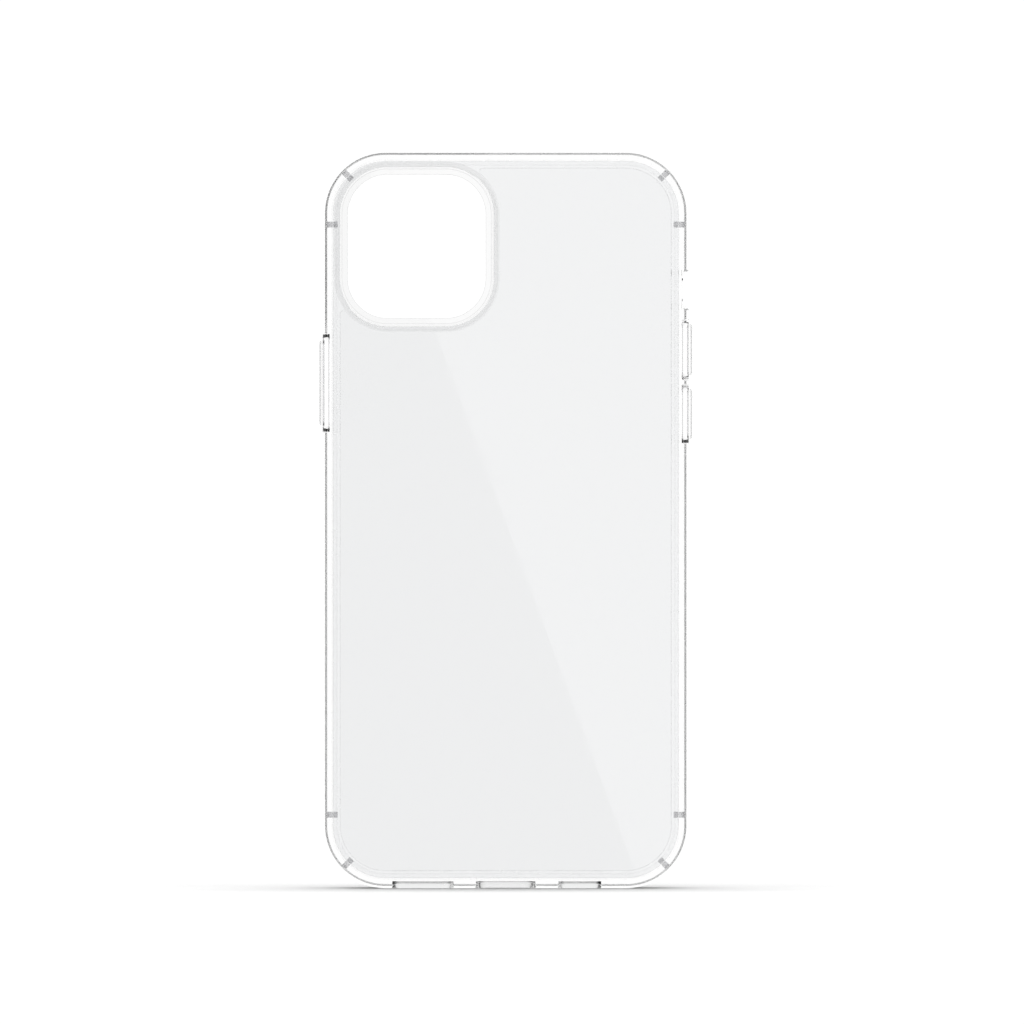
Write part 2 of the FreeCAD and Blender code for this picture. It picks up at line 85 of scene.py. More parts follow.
# ------------------------------------------------------------------ mesh builder
class Skin:
    """A mesh made of exact surfaces: every face corner carries its surface's own normal."""

    def __init__(self):
        self.v, self.key, self.f, self.n, self.m = [], {}, [], [], []
        self.mat = 0

    def vert(self, p):
        k = (round(p[0] * 2e3), round(p[1] * 2e3), round(p[2] * 2e3))
        if k not in self.key:
            self.key[k] = len(self.v)
            self.v.append((float(p[0]), float(p[1]), float(p[2])))
        return self.key[k]

    def face(self, pts, normals):
        idx = [self.vert(p) for p in pts]
        keep = [i for i in range(len(idx)) if idx[i] != idx[i - 1]]
        idx = [idx[i] for i in keep]
        normals = [normals[i] for i in keep]
        if len(set(idx)) < 3:
            return
        a = [np.array(self.v[i]) for i in idx]
        g = np.zeros(3)
        for i in range(1, len(a) - 1):
            g += np.cross(a[i] - a[0], a[i + 1] - a[0])
        if float(np.dot(g, np.sum(normals, 0))) < 0:
            idx.reverse()
            normals = normals[::-1]
        self.f.append(idx)
        self.n.append([tuple(float(c) for c in n) for n in normals])
        self.m.append(self.mat)

    def strip(self, la, lb, na, nb, closed=True):
        """Quads between two lines of points."""
        count = len(la)
        for i in range(count if closed else count - 1):
            j = (i + 1) % count
            self.face([la[i], la[j], lb[j], lb[i]], [na[i], na[j], nb[j], nb[i]])

    def build(self, name, mats):
        me = bpy.data.meshes.new(name)
        for m in mats:
            me.materials.append(m)
        v = np.array(self.v) / 1000.0
        me.from_pydata([tuple(p) for p in v], [], self.f)
        me.validate()
        me.polygons.foreach_set("use_smooth", [True] * len(me.polygons))
        if len(self.m) == len(me.polygons):
            me.polygons.foreach_set("material_index", [min(m, len(mats) - 1) for m in self.m])
        loops = [n for face in self.n for n in face]
        if len(loops) == len(me.loops):
            me.normals_split_custom_set(loops)
        else:
            print("NORMALS SKIPPED", name, len(loops), len(me.loops))
        ob = bpy.data.objects.new(name, me)
        bpy.context.scene.collection.objects.link(ob)
        return ob


def inside(poly, p):
    x, y = p
    hit = False
    n = len(poly)
    j = n - 1
    for i in range(n):
        xi, yi = poly[i]
        xj, yj = poly[j]
        if (yi > y) != (yj > y) and x < (xj - xi) * (y - yi) / (yj - yi) + xi:
            hit = not hit
        j = i
    return hit


def triangles(outer, holes=(), loops=(), lines=(), points=()):
    """Triangulate the region inside outer and outside holes. loops and lines are further edges.
    Returns (2-D points, triangles)."""
    co, edges = [], []
    seen = {}

    def add(p):
        k = (round(p[0] * 2e3), round(p[1] * 2e3))
        if k not in seen:
            seen[k] = len(co)
            co.append((float(p[0]), float(p[1])))
        return seen[k]

    for loop in [outer] + list(holes) + list(loops):
        ids = [add(p) for p in loop]
        edges += [(ids[i], ids[(i + 1) % len(ids)]) for i in range(len(ids)) if ids[i] != ids[(i + 1) % len(ids)]]
    for line in lines:
        ids = [add(p) for p in line]
        edges += [(ids[i], ids[i + 1]) for i in range(len(ids) - 1) if ids[i] != ids[i + 1]]
    for p in points:
        add(p)
    out = delaunay_2d_cdt([Vector(c) for c in co], edges, [], 0, 1e-5)
    pts = []
    for i, c in enumerate(out[0]):
        src = [k for k in out[3][i]] if out[3] else []
        pts.append(co[src[0]] if src else (float(c[0]), float(c[1])))
    tris = []
    for f in out[2]:
        cx = sum(pts[i][0] for i in f) / len(f)
        cy = sum(pts[i][1] for i in f) / len(f)
        if not inside(outer, (cx, cy)):
            continue
        if any(inside(h, (cx, cy)) for h in holes):
            continue
        tris.append(list(f))
    return pts, tris


def arc(cx, cy, r, a0, a1, n):
    return [
        (cx + r * math.cos(math.radians(a0 + (a1 - a0) * i / n)), cy + r * math.sin(math.radians(a0 + (a1 - a0) * i / n)))
        for i in range(n + 1)
    ]


def rounded(cx, cy, hx, hy, r, n=10):
    """A rounded rectangle as (points, outward normals), counter-clockwise, with n steps per corner."""
    pts, nrm = [], []
    for sx, sy, a in ((1, -1, -90), (1, 1, 0), (-1, 1, 90), (-1, -1, 180)):
        for i in range(n + 1):
            t = math.radians(a + 90 * i / n)
            nx, ny = math.cos(t), math.sin(t)
            pts.append((cx + sx * (hx - r) + r * nx, cy + sy * (hy - r) + r * ny))
            nrm.append((nx, ny))
    return pts, nrm


# ------------------------------------------------------------------ the case's outline
# A station is a point of the rounded rectangle's core and the outward direction there.
CORNER_STEPS = 30
SX, SZ0, SZ1 = HALF - R, BOTTOM + R, TOP - R
# (low, high) of what is cut out of each straight side
pad_boxes = {n: mm(n) for n in ("power_button", "volume_up_button", "volume_down_button")}
PAD_Y = (pad_boxes["power_button"][0][1] + pad_boxes["power_button"][1][1]) / 2 - BACK
PAD_HY = (pad_boxes["power_button"][1][1] - pad_boxes["power_button"][0][1]) / 2
WIN_HY = PAD_HY + 0.8
WIN_R = 2.0


def window(node, end):
    lo, hi = pad_boxes[node]
    return (lo[2] - end, hi[2] + end)


POWER = window("power_button", 1.5)
VOL_UP = window("volume_up_button", 1.0)
VOL_DOWN = window("volume_down_button", 1.0)
SCOOP = (130.2, 136.4)
SCOOP_D = 1.35
MUTE = (130.7, 135.9, 2.5, 1.2)
PORT = (-6.65, 6.65, 3.0, 2.6)
SLOT_L = (-25.3, -11.6, 1.8, 1.75)
SLOT_R = (11.7, 21.3, 1.8, 1.75)

# Depth levels of the outer back rounding: phi = 0 on the wall, 90 on the back face.
PHI_END = 80.0
phi_scoop = math.degrees(math.acos(1 - SCOOP_D / RB))
PHIS = sorted(set([round(4.0 * i, 6) for i in range(0, int(PHI_END / 4) + 1)] + [6.0, 10.0, 14.0, 18.0, phi_scoop]))


def back_arc(phi):
    """(inset, depth, outward part of the normal, depth part of the normal)"""
    t = math.radians(phi)
    return (RB * (1 - math.cos(t)), RB * (1 - math.sin(t)), math.cos(t), -math.sin(t))


SECT_OUT = [back_arc(p) for p in reversed(PHIS)]  # from the back towards the wall
Y_WALL_END = DEPTH - RF

chamfer_d = [back_arc(p)[0] for p in PHIS if back_arc(p)[0] <= SCOOP_D + 1e-9]  # 0 .. SCOOP_D


def stations():
    """Closed list of (core x, core z, nx, nz, cut, patch). cut is how deep the outside is cut in there.
    patch is set on a station where a patched stretch starts, and names it."""
    out = []

    def corner(cx, cz, a):
        for i in range(1, CORNER_STEPS):
            t = math.radians(a + 90 * i / CORNER_STEPS)
            out.append((cx, cz, math.cos(t), math.sin(t), 0.0, None))

    # bottom side, +X direction
    def side(start, end, n, marks):
        for u, cut, patch in marks:
            if n[0] == 0:
                out.append((u, start[1], n[0], n[1], cut, patch))
            else:
                out.append((start[0], u, n[0], n[1], cut, patch))

    side((0, SZ0), None, (0, -1), [(-SX, 0, "bottom"), (SX, 0, None)])
    corner(SX, SZ0, -90)
    marks = [(SZ0, 0, None), (VOL_DOWN[0] - 1.2, 0, "volume"), (VOL_UP[1] + 0.9, 0, None)]
    for d in chamfer_d[:-1]:
        marks.append((SCOOP[0] - SCOOP_D + d, d, "scoop_edge"))
    marks += [(SCOOP[0], SCOOP_D, "scoop"), (SCOOP[1], SCOOP_D, "scoop_edge")]
    for d in reversed(chamfer_d[:-1]):
        marks.append((SCOOP[1] + SCOOP_D - d, d, "scoop_edge" if d > 0 else None))
    marks.append((SZ1, 0, None))
    side((SX, 0), None, (1, 0), marks)
    corner(SX, SZ1, 0)
    side((0, SZ1), None, (0, 1), [(SX, 0, None), (-SX, 0, None)])
    corner(-SX, SZ1, 90)
    side((-SX, 0), None, (-1, 0), [(SZ1, 0, None), (POWER[1] + 1.2, 0, "power"), (POWER[0] - 1.2, 0, None), (SZ0, 0, None)])
    corner(-SX, SZ0, 180)
    return out


ST = stations()
NS = len(ST)


def at(i, d, y):
    cx, cz, nx, nz, cut, patch = ST[i % NS]
    return (MID + cx + nx * (R - d), BACK + y, cz + nz * (R - d))


def normal(i, no, ny):
    cx, cz, nx, nz, cut, patch = ST[i % NS]
    return (nx * no, ny, nz * no)


def ring_line(d, y):
    return [at(i, d, y) for i in range(NS)]


# ------------------------------------------------------------------ seam and guard outlines (x, z)
def camera_outline(off, n=24):
    """Counter-clockwise from the lower right corner's start."""
    pts, nrm = rounded(HOLE_C[0], HOLE_C[1], HOLE_H[0] + off, HOLE_H[1] + off, HOLE_R + off, n)
    return pts, nrm


def seam_tips():
    """Centres of the field's two rounded tips, which touch the guard."""
    rho = HOLE_R + 3.05 + TIP
    ax = MID - HALF + SEAM + TIP
    lx, lz = HOLE_C[0] - HOLE_H[0] + HOLE_R, HOLE_C[1] - HOLE_H[1] + HOLE_R
    rx, rz = HOLE_C[0] + HOLE_H[0] - HOLE_R, HOLE_C[1] + HOLE_H[1] - HOLE_R
    bz = TOP - SEAM - TIP
    return [(ax, lz - math.sqrt(rho**2 - (ax - lx) ** 2)), (rx + math.sqrt(rho**2 - (bz - rz) ** 2), bz)]


def guard_gap_at(x, z):
    """Distance of a point outside the camera opening from the opening's edge."""
    dx, dz = abs(x - HOLE_C[0]) - HOLE_H[0] + HOLE_R, abs(z - HOLE_C[1]) - HOLE_H[1] + HOLE_R
    return math.hypot(max(dx, 0), max(dz, 0)) + min(0, max(dx, dz)) - HOLE_R


def seam_parts(grow):
    """The field's outline in two parts: round the case from the top tip to the left tip, and back
    along the guard. grow widens it. The third part runs round the guard the other way."""
    inset = SEAM - grow
    off = 3.05 - grow
    t = TIP + grow
    xl, zt = MID - HALF + inset, TOP - inset
    r = R - inset
    rho = HOLE_R + off
    lx, lz = HOLE_C[0] - HOLE_H[0] + HOLE_R, HOLE_C[1] - HOLE_H[1] + HOLE_R
    rx, rz = HOLE_C[0] + HOLE_H[0] - HOLE_R, HOLE_C[1] + HOLE_H[1] - HOLE_R
    # tip centres
    ax = xl + t
    az = lz - math.sqrt((rho + t) ** 2 - (ax - lx) ** 2)
    bz = zt - t
    bx = rx + math.sqrt((rho + t) ** 2 - (bz - rz) ** 2)
    a_ring = math.degrees(math.atan2(az - lz, ax - lx)) % 360  # angle on the lower left guard corner
    b_ring = math.degrees(math.atan2(bz - rz, bx - rx)) % 360  # angle on the upper right guard corner
    case = []
    # top tip arc: from its touch point on the guard to the top line
    case += arc(bx, bz, t, b_ring + 180, 90, 10)
    n = CORNER_STEPS
    case += arc(MID + SX, SZ1, r, 90, 0, n)
    case += arc(MID + SX, SZ0, r, 0, -90, n)
    case += arc(MID - SX, SZ0, r, -90, -180, n)
    case += arc(ax, az, t, 180, a_ring - 180 if a_ring > 180 else a_ring + 180, 10)
    # along the guard, below and right: from the left tip to the top tip
    near = arc(lx, lz, rho, a_ring, 270, 12)
    near += arc(rx, lz, rho, -90, 0, 24)
    near += arc(rx, rz, rho, 0, b_ring, 14)
    # round the guard the other way: left, upper left, top
    far = arc(lx, lz, rho, a_ring, 180, 8)
    far += arc(lx, rz, rho, 180, 90, 24)
    far += arc(rx, rz, rho, 90, b_ring, 10)
    return case, near, far


def tidy(loop):
    out = []
    for p in loop:
        if not out or abs(p[0] - out[-1][0]) > 1e-3 or abs(p[1] - out[-1][1]) > 1e-3:
            out.append(p)
    while abs(out[0][0] - out[-1][0]) < 1e-3 and abs(out[0][1] - out[-1][1]) < 1e-3:
        out.pop()
    return out


def loop_normals(loop):
    """Outward normal and length of each segment (to the right of travel when counter-clockwise); the callers smooth
    them where the turn is small.
    """
    n = len(loop)
    area = sum(loop[i][0] * loop[(i + 1) % n][1] - loop[(i + 1) % n][0] * loop[i][1] for i in range(n))
    sign = 1 if area > 0 else -1
    seg = []
    for i in range(n):
        dx, dy = loop[(i + 1) % n][0] - loop[i][0], loop[(i + 1) % n][1] - loop[i][1]
        length = math.hypot(dx, dy)
        seg.append((sign * dy / length, -sign * dx / length, length))
    return seg


def inset_of(x, z):
    """How far a point lies inside the case's outline."""
    dx, dz = abs(x - MID) - HALF, abs(z - (TOP + BOTTOM) / 2) - (TOP - BOTTOM) / 2
    if dx > -R and dz > -R:
        return R - math.hypot(dx + R, dz + R)
    return -max(dx, dz)


def outward_at(x, z):
    cx, cz = min(max(x, MID - SX), MID + SX), min(max(z, SZ0), SZ1)
    dx, dz = x - cx, z - cz
    length = math.hypot(dx, dz) or 1
    return dx / length, dz / length


# ------------------------------------------------------------------ bumper
def lifted(skin, pts, tris, place, norm):
    for t in tris:
        skin.face([place(*pts[i]) for i in t], [norm(*pts[i]) for i in t])


def opening(skin, levels, size, outer_at, inner_at, surf_n, inner_n, u_dir, edge=0.22, steps=4, tunnel_slot=0):
    """The tunnel of an opening through a wall, with rounded rims. Returns the rim loop (u, y), with a
    point wherever it crosses one of the levels."""
    cu, cy, hu, hy, r = size
    n = 12
    pts, nrms = rounded(cu, cy, hu, hy, r, n)
    inner_pts, nrm, grown = [], [], []
    for k in range(len(pts)):
        p, q, a, b = pts[k], pts[(k + 1) % len(pts)], nrms[k], nrms[(k + 1) % len(pts)]
        gp = (p[0] + a[0] * edge, p[1] + a[1] * edge)
        gq = (q[0] + b[0] * edge, q[1] + b[1] * edge)
        inner_pts.append(p)
        nrm.append(a)
        grown.append(gp)
        crossed = sorted(
            ((y - gp[1]) / (gq[1] - gp[1]), y) for y in levels if (gp[1] - y) * (gq[1] - y) < -1e-9
        )
        for t, y in crossed:
            inner_pts.append((p[0] + (q[0] - p[0]) * t, p[1] + (q[1] - p[1]) * t))
            x, z = a[0] + (b[0] - a[0]) * t, a[1] + (b[1] - a[1]) * t
            length = math.hypot(x, z)
            nrm.append((x / length, z / length))
            grown.append((gp[0] + (gq[0] - gp[0]) * t, y))
    count = len(grown)
    # in the opening the wall faces the middle of the hole
    tun_n = []
    for k in range(count):
        tun_n.append(tuple(-nrm[k][0] * u_dir[c] + (-nrm[k][1] if c == 1 else 0.0) for c in range(3)))
    rows = []
    for j in range(steps + 1):
        t = math.pi / 2 * j / steps
        s, c = math.sin(t), math.cos(t)
        row, rn = [], []
        for k in range(count):
            pu = inner_pts[k][0] * s + grown[k][0] * (1 - s)
            py = inner_pts[k][1] * s + grown[k][1] * (1 - s)
            row.append(outer_at(pu, py, edge * (1 - c)))
            sn = surf_n(pu, py)
            rn.append(tuple(sn[i] * c + tun_n[k][i] * s for i in range(3)))
        rows.append((row, rn))
    for j in range(steps + 1):
        t = math.pi / 2 * (1 - j / steps)
        s, c = math.sin(t), math.cos(t)
        row, rn = [], []
        for k in range(count):
            pu = inner_pts[k][0] * s + grown[k][0] * (1 - s)
            py = inner_pts[k][1] * s + grown[k][1] * (1 - s)
            row.append(inner_at(pu, py, edge * 0.3 * (1 - c)))
            sn = inner_n
            rn.append(tuple(sn[i] * c + tun_n[k][i] * s for i in range(3)))
        rows.append((row, rn))
    skin.mat = tunnel_slot
    for (la, na), (lb, nb) in zip(rows, rows[1:]):
        skin.strip(la, lb, na, nb)
    skin.mat = 0
    return grown


def outer_depth(y):
    """Inset of the plain outer surface at a depth on the wall or its back rounding."""
    if y >= RB:
        return 0.0, 1.0, 0.0
    s = 1 - y / RB
    c = math.sqrt(max(0.0, 1 - s * s))
    return RB * (1 - c), c, -s


def make_bumper():
    skin = Skin()
    outer = SECT_OUT + []  # back rounding, PHI_END .. 0
    # wall end and front rounding
    front = []
    for i in range(0, 7):
        t = math.radians(90 * i / 6)
        front.append((RF * (1 - math.cos(t)), DEPTH - RF * (1 - math.sin(t)), math.cos(t), math.sin(t)))

    def cut_d(i, d):
        return max(d, ST[i % NS][4])

    lines = outer + front  # all levels whose inset may be cut by the scoop
    n_back = len(outer)
    for i in range(NS):
        j = (i + 1) % NS
        patch = ST[i][5]
        scooped = ST[i][4] > 0 or ST[j][4] > 0
        for k in range(len(lines) - 1):
            a, b = lines[k], lines[k + 1]
            is_wall = k == n_back - 1
            if patch in ("bottom", "volume", "power") and k < n_back:
                continue
            if patch == "scoop" and a[0] <= SCOOP_D + 1e-6 and b[0] <= SCOOP_D + 1e-6:
                continue
            if not scooped:
                skin.face(
                    [at(i, a[0], a[1]), at(j, a[0], a[1]), at(j, b[0], b[1]), at(i, b[0], b[1])],
                    [normal(i, a[2], a[3]), normal(j, a[2], a[3]), normal(j, b[2], b[3]), normal(i, b[2], b[3])],
                )
                continue
            # scoop and its slanted ends: exact where the cut meets the rounding
            ci, cj = ST[i][4], ST[j][4]
            if a[0] >= max(ci, cj) - 1e-6 and b[0] >= max(ci, cj) - 1e-6:
                skin.face(
                    [at(i, a[0], a[1]), at(j, a[0], a[1]), at(j, b[0], b[1]), at(i, b[0], b[1])],
                    [normal(i, a[2], a[3]), normal(j, a[2], a[3]), normal(j, b[2], b[3]), normal(i, b[2], b[3])],
                )
                continue
            pa_i, pa_j = at(i, max(a[0], ci), a[1]), at(j, max(a[0], cj), a[1])
            pb_i, pb_j = at(i, max(b[0], ci), b[1]), at(j, max(b[0], cj), b[1])
            slope = (cj - ci) / (ST[j][3 - 2 + 0] - ST[i][1]) if ST[j][1] != ST[i][1] else 0.0
            length = math.hypot(1, slope)
            nn = (1 / length, 0.0, slope / length)
            both = [(pa_i, a, ci), (pa_j, a, cj), (pb_j, b, cj), (pb_i, b, ci)]
            under = [pt[1][0] <= pt[2] + 1e-6 for pt in both]
            if all(under):
                skin.face([p[0] for p in both], [nn] * 4)
                continue
            # the cell that the cut's edge crosses: split along that edge
            lo_i, lo_j = (0, 1)
            if cj > ci:
                # deeper level first touches at station j
                t1 = [both[3], both[2], both[1]] if b[0] < a[0] else [both[0], both[1], both[2]]
                t2 = [both[3], both[1], both[0]] if b[0] < a[0] else [both[0], both[2], both[3]]
            else:
                t1 = [both[2], both[3], both[0]] if b[0] < a[0] else [both[1], both[0], both[3]]
                t2 = [both[2], both[0], both[1]] if b[0] < a[0] else [both[1], both[3], both[2]]
            for tri in (t1, t2):
                cut = all(p[1][0] <= p[2] + 1e-6 for p in tri)
                if cut:
                    skin.face([p[0] for p in tri], [nn] * 3)
                else:
                    skin.face([p[0] for p in tri], [normal(i, p[1][2], p[1][3]) for p in tri])
    # lip: front face, rounded inner edge, underside
    sect = []
    sect.append([(RF, DEPTH, 0, 1), (LIP - LIPR, DEPTH, 0, 1)])
    roll = []
    for i in range(0, 7):
        t = math.radians(90 * i / 6)
        roll.append((LIP - LIPR + LIPR * math.sin(t), DEPTH - LIPR + LIPR * math.cos(t), -math.sin(t), math.cos(t)))
    for i in range(0, 7):
        t = math.radians(90 * i / 6)
        roll.append((LIP - LIPR + LIPR * math.cos(t), UNDER + LIPR - LIPR * math.sin(t), -math.cos(t), -math.sin(t)))
    sect.append(roll)
    c2 = 0.12
    sect.append([(LIP - LIPR, UNDER, 0, -1), (WALL + c2, UNDER, 0, -1)])
    inner = []
    for i in range(0, 4):
        t = math.radians(90 * i / 3)
        inner.append((WALL + c2 - c2 * math.sin(t), UNDER - c2 + c2 * math.cos(t), -math.sin(t), -math.cos(t)))
    sect.append(inner)
    c1 = 0.12
    low = []
    for i in range(0, 4):
        t = math.radians(90 * i / 3)
        low.append((WALL + c1 - c1 * math.cos(t), FLOOR + c1 - c1 * math.sin(t), -math.cos(t), math.sin(t)))
    sect_low = [low, [(WALL + c1, FLOOR, 0, 1), (RIM - GAP, FLOOR, 0, 1)], [(RIM - GAP, FLOOR, -1, 0), (RIM - GAP, COVER - 0.02, -1, 0)]]
    for run in sect + sect_low:
        # the lip's rounded inner edge and the seam wall take the darker edge material: painted shade along these lines
        skin.mat = 1 if run is roll or run is sect_low[-1] else 0
        for a, b in zip(run, run[1:]):
            for i in range(NS):
                j = (i + 1) % NS
                da_i, da_j = cut_d(i, a[0]), cut_d(j, a[0])
                skin.face(
                    [at(i, da_i, a[1]), at(j, da_j, a[1]), at(j, b[0], b[1]), at(i, b[0], b[1])],
                    [normal(i, a[2], a[3]), normal(j, a[2], a[3]), normal(j, b[2], b[3]), normal(i, b[2], b[3])],
                )
    skin.mat = 0
    # inner wall, with the openings
    y_top, y_low = UNDER - c2, FLOOR + c1
    holes = {"bottom": [], "volume": [], "power": [], "scoop": []}

    def side_maps(i):
        cx, cz, nx, nz = ST[i][:4]
        horizontal = nx == 0

        def place(u, d, y):
            if horizontal:
                return (MID + u, BACK + y, cz + nz * (R - d))
            return (MID + cx + nx * (R - d), BACK + y, u)

        return horizontal, (nx, nz), place

    for i in range(NS):
        j = (i + 1) % NS
        patch = ST[i][5]
        if patch not in holes:
            skin.face(
                [at(i, WALL, y_low), at(j, WALL, y_low), at(j, WALL, y_top), at(i, WALL, y_top)],
                [normal(i, -1, 0), normal(j, -1, 0), normal(j, -1, 0), normal(i, -1, 0)],
            )
            continue
        horizontal, (nx, nz), place = side_maps(i)
        u_dir = (1, 0, 0) if horizontal else (0, 0, 1)
        u0 = ST[i][0] if horizontal else ST[i][1]
        u1 = ST[j][0] if horizontal else ST[j][1]
        cut = SCOOP_D if patch == "scoop" else 0.0
        if patch == "bottom":
            items = [((a + b) / 2, PAD_Y, (b - a) / 2, hy, min(r, hy - 0.01)) for a, b, hy, r in (PORT, SLOT_L, SLOT_R)]
        elif patch == "volume":
            items = [((a + b) / 2, PAD_Y, (b - a) / 2, WIN_HY, WIN_R) for a, b in (VOL_DOWN, VOL_UP)]
        elif patch == "power":
            items = [((POWER[0] + POWER[1]) / 2, PAD_Y, (POWER[1] - POWER[0]) / 2, WIN_HY, WIN_R)]
        else:
            items = [((MUTE[0] + MUTE[1]) / 2, PAD_Y, (MUTE[1] - MUTE[0]) / 2, MUTE[2], MUTE[3])]
        inner_n = (-nx, 0.0, -nz)

        def surf_n(u, y, cut=cut, nx=nx, nz=nz):
            if cut:
                return (nx, 0.0, nz)
            d, no, ny = outer_depth(y)
            return (nx * no, ny, nz * no)

        def outer_at(u, y, down, place=place, cut=cut):
            d = cut if cut else outer_depth(y)[0]
            return place(u, d + down, y)

        def inner_at(u, y, down, place=place):
            return place(u, WALL - down, y)

        edge = 0.12 if patch == "scoop" else 0.22
        levels = [] if patch == "scoop" else [b[1] for b in outer]
        # the bottom openings' tunnels take the third material, matte and darker: the darkness is painted shade inside
        # the openings
        tunnel_slot = 2 if patch == "bottom" else 0
        rims = [opening(skin, levels, it, outer_at, inner_at, surf_n, inner_n, u_dir, edge, tunnel_slot=tunnel_slot) for it in items]
        # inner face
        outline = [(u0, y_low), (u1, y_low), (u1, y_top), (u0, y_top)]
        pts, tris = triangles(outline, rims)
        lifted(skin, pts, tris, lambda u, y: place(u, WALL, y), lambda u, y: inner_n)
        # outer face, with an edge along every level of the back rounding
        if patch == "scoop":
            ys = [b[1] for b in lines if b[0] <= SCOOP_D + 1e-6]
            ys = sorted(set(round(v, 9) for v in ys))
            outline = [(u0, y) for y in ys] + [(u1, y) for y in reversed(ys)]
            pts, tris = triangles(outline, rims)
            lifted(skin, pts, tris, lambda u, y: place(u, SCOOP_D, y), lambda u, y: (nx, 0.0, nz))
        else:
            ys = [b[1] for b in outer] + [Y_WALL_END]
            outline = [(u0, y) for y in ys] + [(u1, y) for y in reversed(ys)]
            cross = [[(u0, y), (u1, y)] for y in ys[1:-1]]
            pts, tris = triangles(outline, rims, lines=cross)
            lifted(skin, pts, tris, lambda u, y: outer_at(u, y, 0), surf_n)
    # back face of the border: from the rounding to the seam and round the guard
    case = [p for p in seam_parts(GAP + SOFTEN)[0] if guard_gap_at(*p) > 3.05 - GAP + 0.01]
    tips = seam_tips()
    far = [p for p in seam_parts(GAP)[2] if all(math.hypot(p[0] - x, p[1] - z) > TIP + GAP + SOFTEN + 0.01 for x, z in tips)]
    union = tidy(case + far)
    d_end = back_arc(PHI_END)[0]
    outline = [(p[0], p[2]) for p in ring_line(d_end, 0)]
    more = []
    for phi in (83.3, 86.6, 90.0):
        d = back_arc(phi)[0]
        more.append([(p[0], p[2]) for p in ring_line(d, 0)])
    pts, tris = triangles(outline, [union], loops=more)

    def height(x, z):
        d = inset_of(x, z)
        if d >= RB:
            return 0.0
        return RB - math.sqrt(max(0.0, RB * RB - (RB - d) ** 2))

    def back_normal(x, z):
        d = inset_of(x, z)
        if d >= RB:
            return (0.0, -1.0, 0.0)
        c = (RB - d) / RB
        ox, oz = outward_at(x, z)
        return (ox * c, -math.sqrt(max(0.0, 1 - c * c)), oz * c)

    lifted(skin, pts, tris, lambda x, z: (x, BACK + height(x, z), z), back_normal)
    # wall down from the seam: its top follows the face's own edge
    use = {}
    for t in tris:
        for a, b in zip(t, t[1:] + t[:1]):
            e = (min(a, b), max(a, b))
            use[e] = use.get(e, 0) + 1
    edge_next = {}
    rim_d = back_arc(PHI_END)[0]
    for (a, b), count in use.items():
        if count == 1:
            mx, mz = (pts[a][0] + pts[b][0]) / 2, (pts[a][1] + pts[b][1]) / 2
            if inset_of(mx, mz) > rim_d + 0.05:
                edge_next.setdefault(a, []).append(b)
                edge_next.setdefault(b, []).append(a)
    start = next(iter(edge_next))
    chain, prev, cur = [start], None, start
    while True:
        nxt = [q for q in edge_next[cur] if q != prev]
        prev, cur = cur, nxt[0]
        if cur == start:
            break
        chain.append(cur)
    ring = [pts[i] for i in chain]
    seg = loop_normals(ring)
    cn = []
    for i in range(len(ring)):
        a, b = seg[i - 1], seg[i]
        wa, wb = 1.0, 1.0
        if a[2] > 3 * b[2]:
            wb = 0.0
        elif b[2] > 3 * a[2]:
            wa = 0.0
        x, z = a[0] * wa + b[0] * wb, a[1] * wa + b[1] * wb
        if a[0] * b[0] + a[1] * b[1] < 0.5:
            x, z = b[0], b[1]
        length = math.hypot(x, z) or 1
        cn.append((-x / length, 0.0, -z / length))
    y_step = COVER - 0.02
    # the edge is rounded over, then goes straight down
    # the seam's rounded edge takes the darker edge material: painted shade along the seam
    skin.mat = 1
    face = [back_normal(*p) for p in ring]
    last, last_n = [(p[0], BACK + height(*p), p[1]) for p in ring], face
    top_ring = ring
    size = [SOFTEN * min(1.0, max(0.0, (guard_gap_at(*p) - 3.2) / 0.4)) for p in ring]
    for i in range(1, 5):
        t = math.radians(90 * i / 4)
        reach, drop = math.sin(t), 1 - math.cos(t)
        now = [
            (p[0] + q[0] * reach * r, BACK + height(*p) + drop * r, p[1] + q[2] * reach * r)
            for p, q, r in zip(top_ring, cn, size)
        ]
        now_n = [tuple(f[c] * math.cos(t) + q[c] * math.sin(t) for c in range(3)) for f, q in zip(face, cn)]
        skin.strip(last, now, last_n, now_n)
        last, last_n = now, now_n
    ring = [(p[0], p[2]) for p in last]
    lb = [(p[0], BACK + y_step, p[1]) for p in ring]
    skin.mat = 0
    skin.strip(last, lb, cn, cn)
    # underside of the border, over the plate's flange
    rim = [(p[0], p[2]) for p in ring_line(RIM - GAP, 0)]
    pts2, tris2 = triangles(rim, [ring])
    lifted(skin, pts2, tris2, lambda x, z: (x, BACK + y_step, z), lambda x, z: (0.0, 1.0, 0.0))
    return skin


# ------------------------------------------------------------------ camera guard
def guard_stations(n=26):
    """(centre x, centre z, normal x, normal z) round the camera opening, counter-clockwise."""
    out = []
    for sx, sz, a in ((1, -1, -90), (1, 1, 0), (-1, 1, 90), (-1, -1, 180)):
        cx = HOLE_C[0] + sx * (HOLE_H[0] - HOLE_R)
        cz = HOLE_C[1] + sz * (HOLE_H[1] - HOLE_R)
        for i in range(n + 1):
            t = math.radians(a + 90 * i / n)
            out.append((cx, cz, math.cos(t), math.sin(t)))
    return out


GS = guard_stations()


def at_guard(k, off, y):
    cx, cz, nx, nz = GS[k]
    return (cx + nx * (HOLE_R + off), BACK + y, cz + nz * (HOLE_R + off))


def smooth(a, b, x):
    t = min(1.0, max(0.0, (x - a) / (b - a)))
    return t * t * (3 - 2 * t)


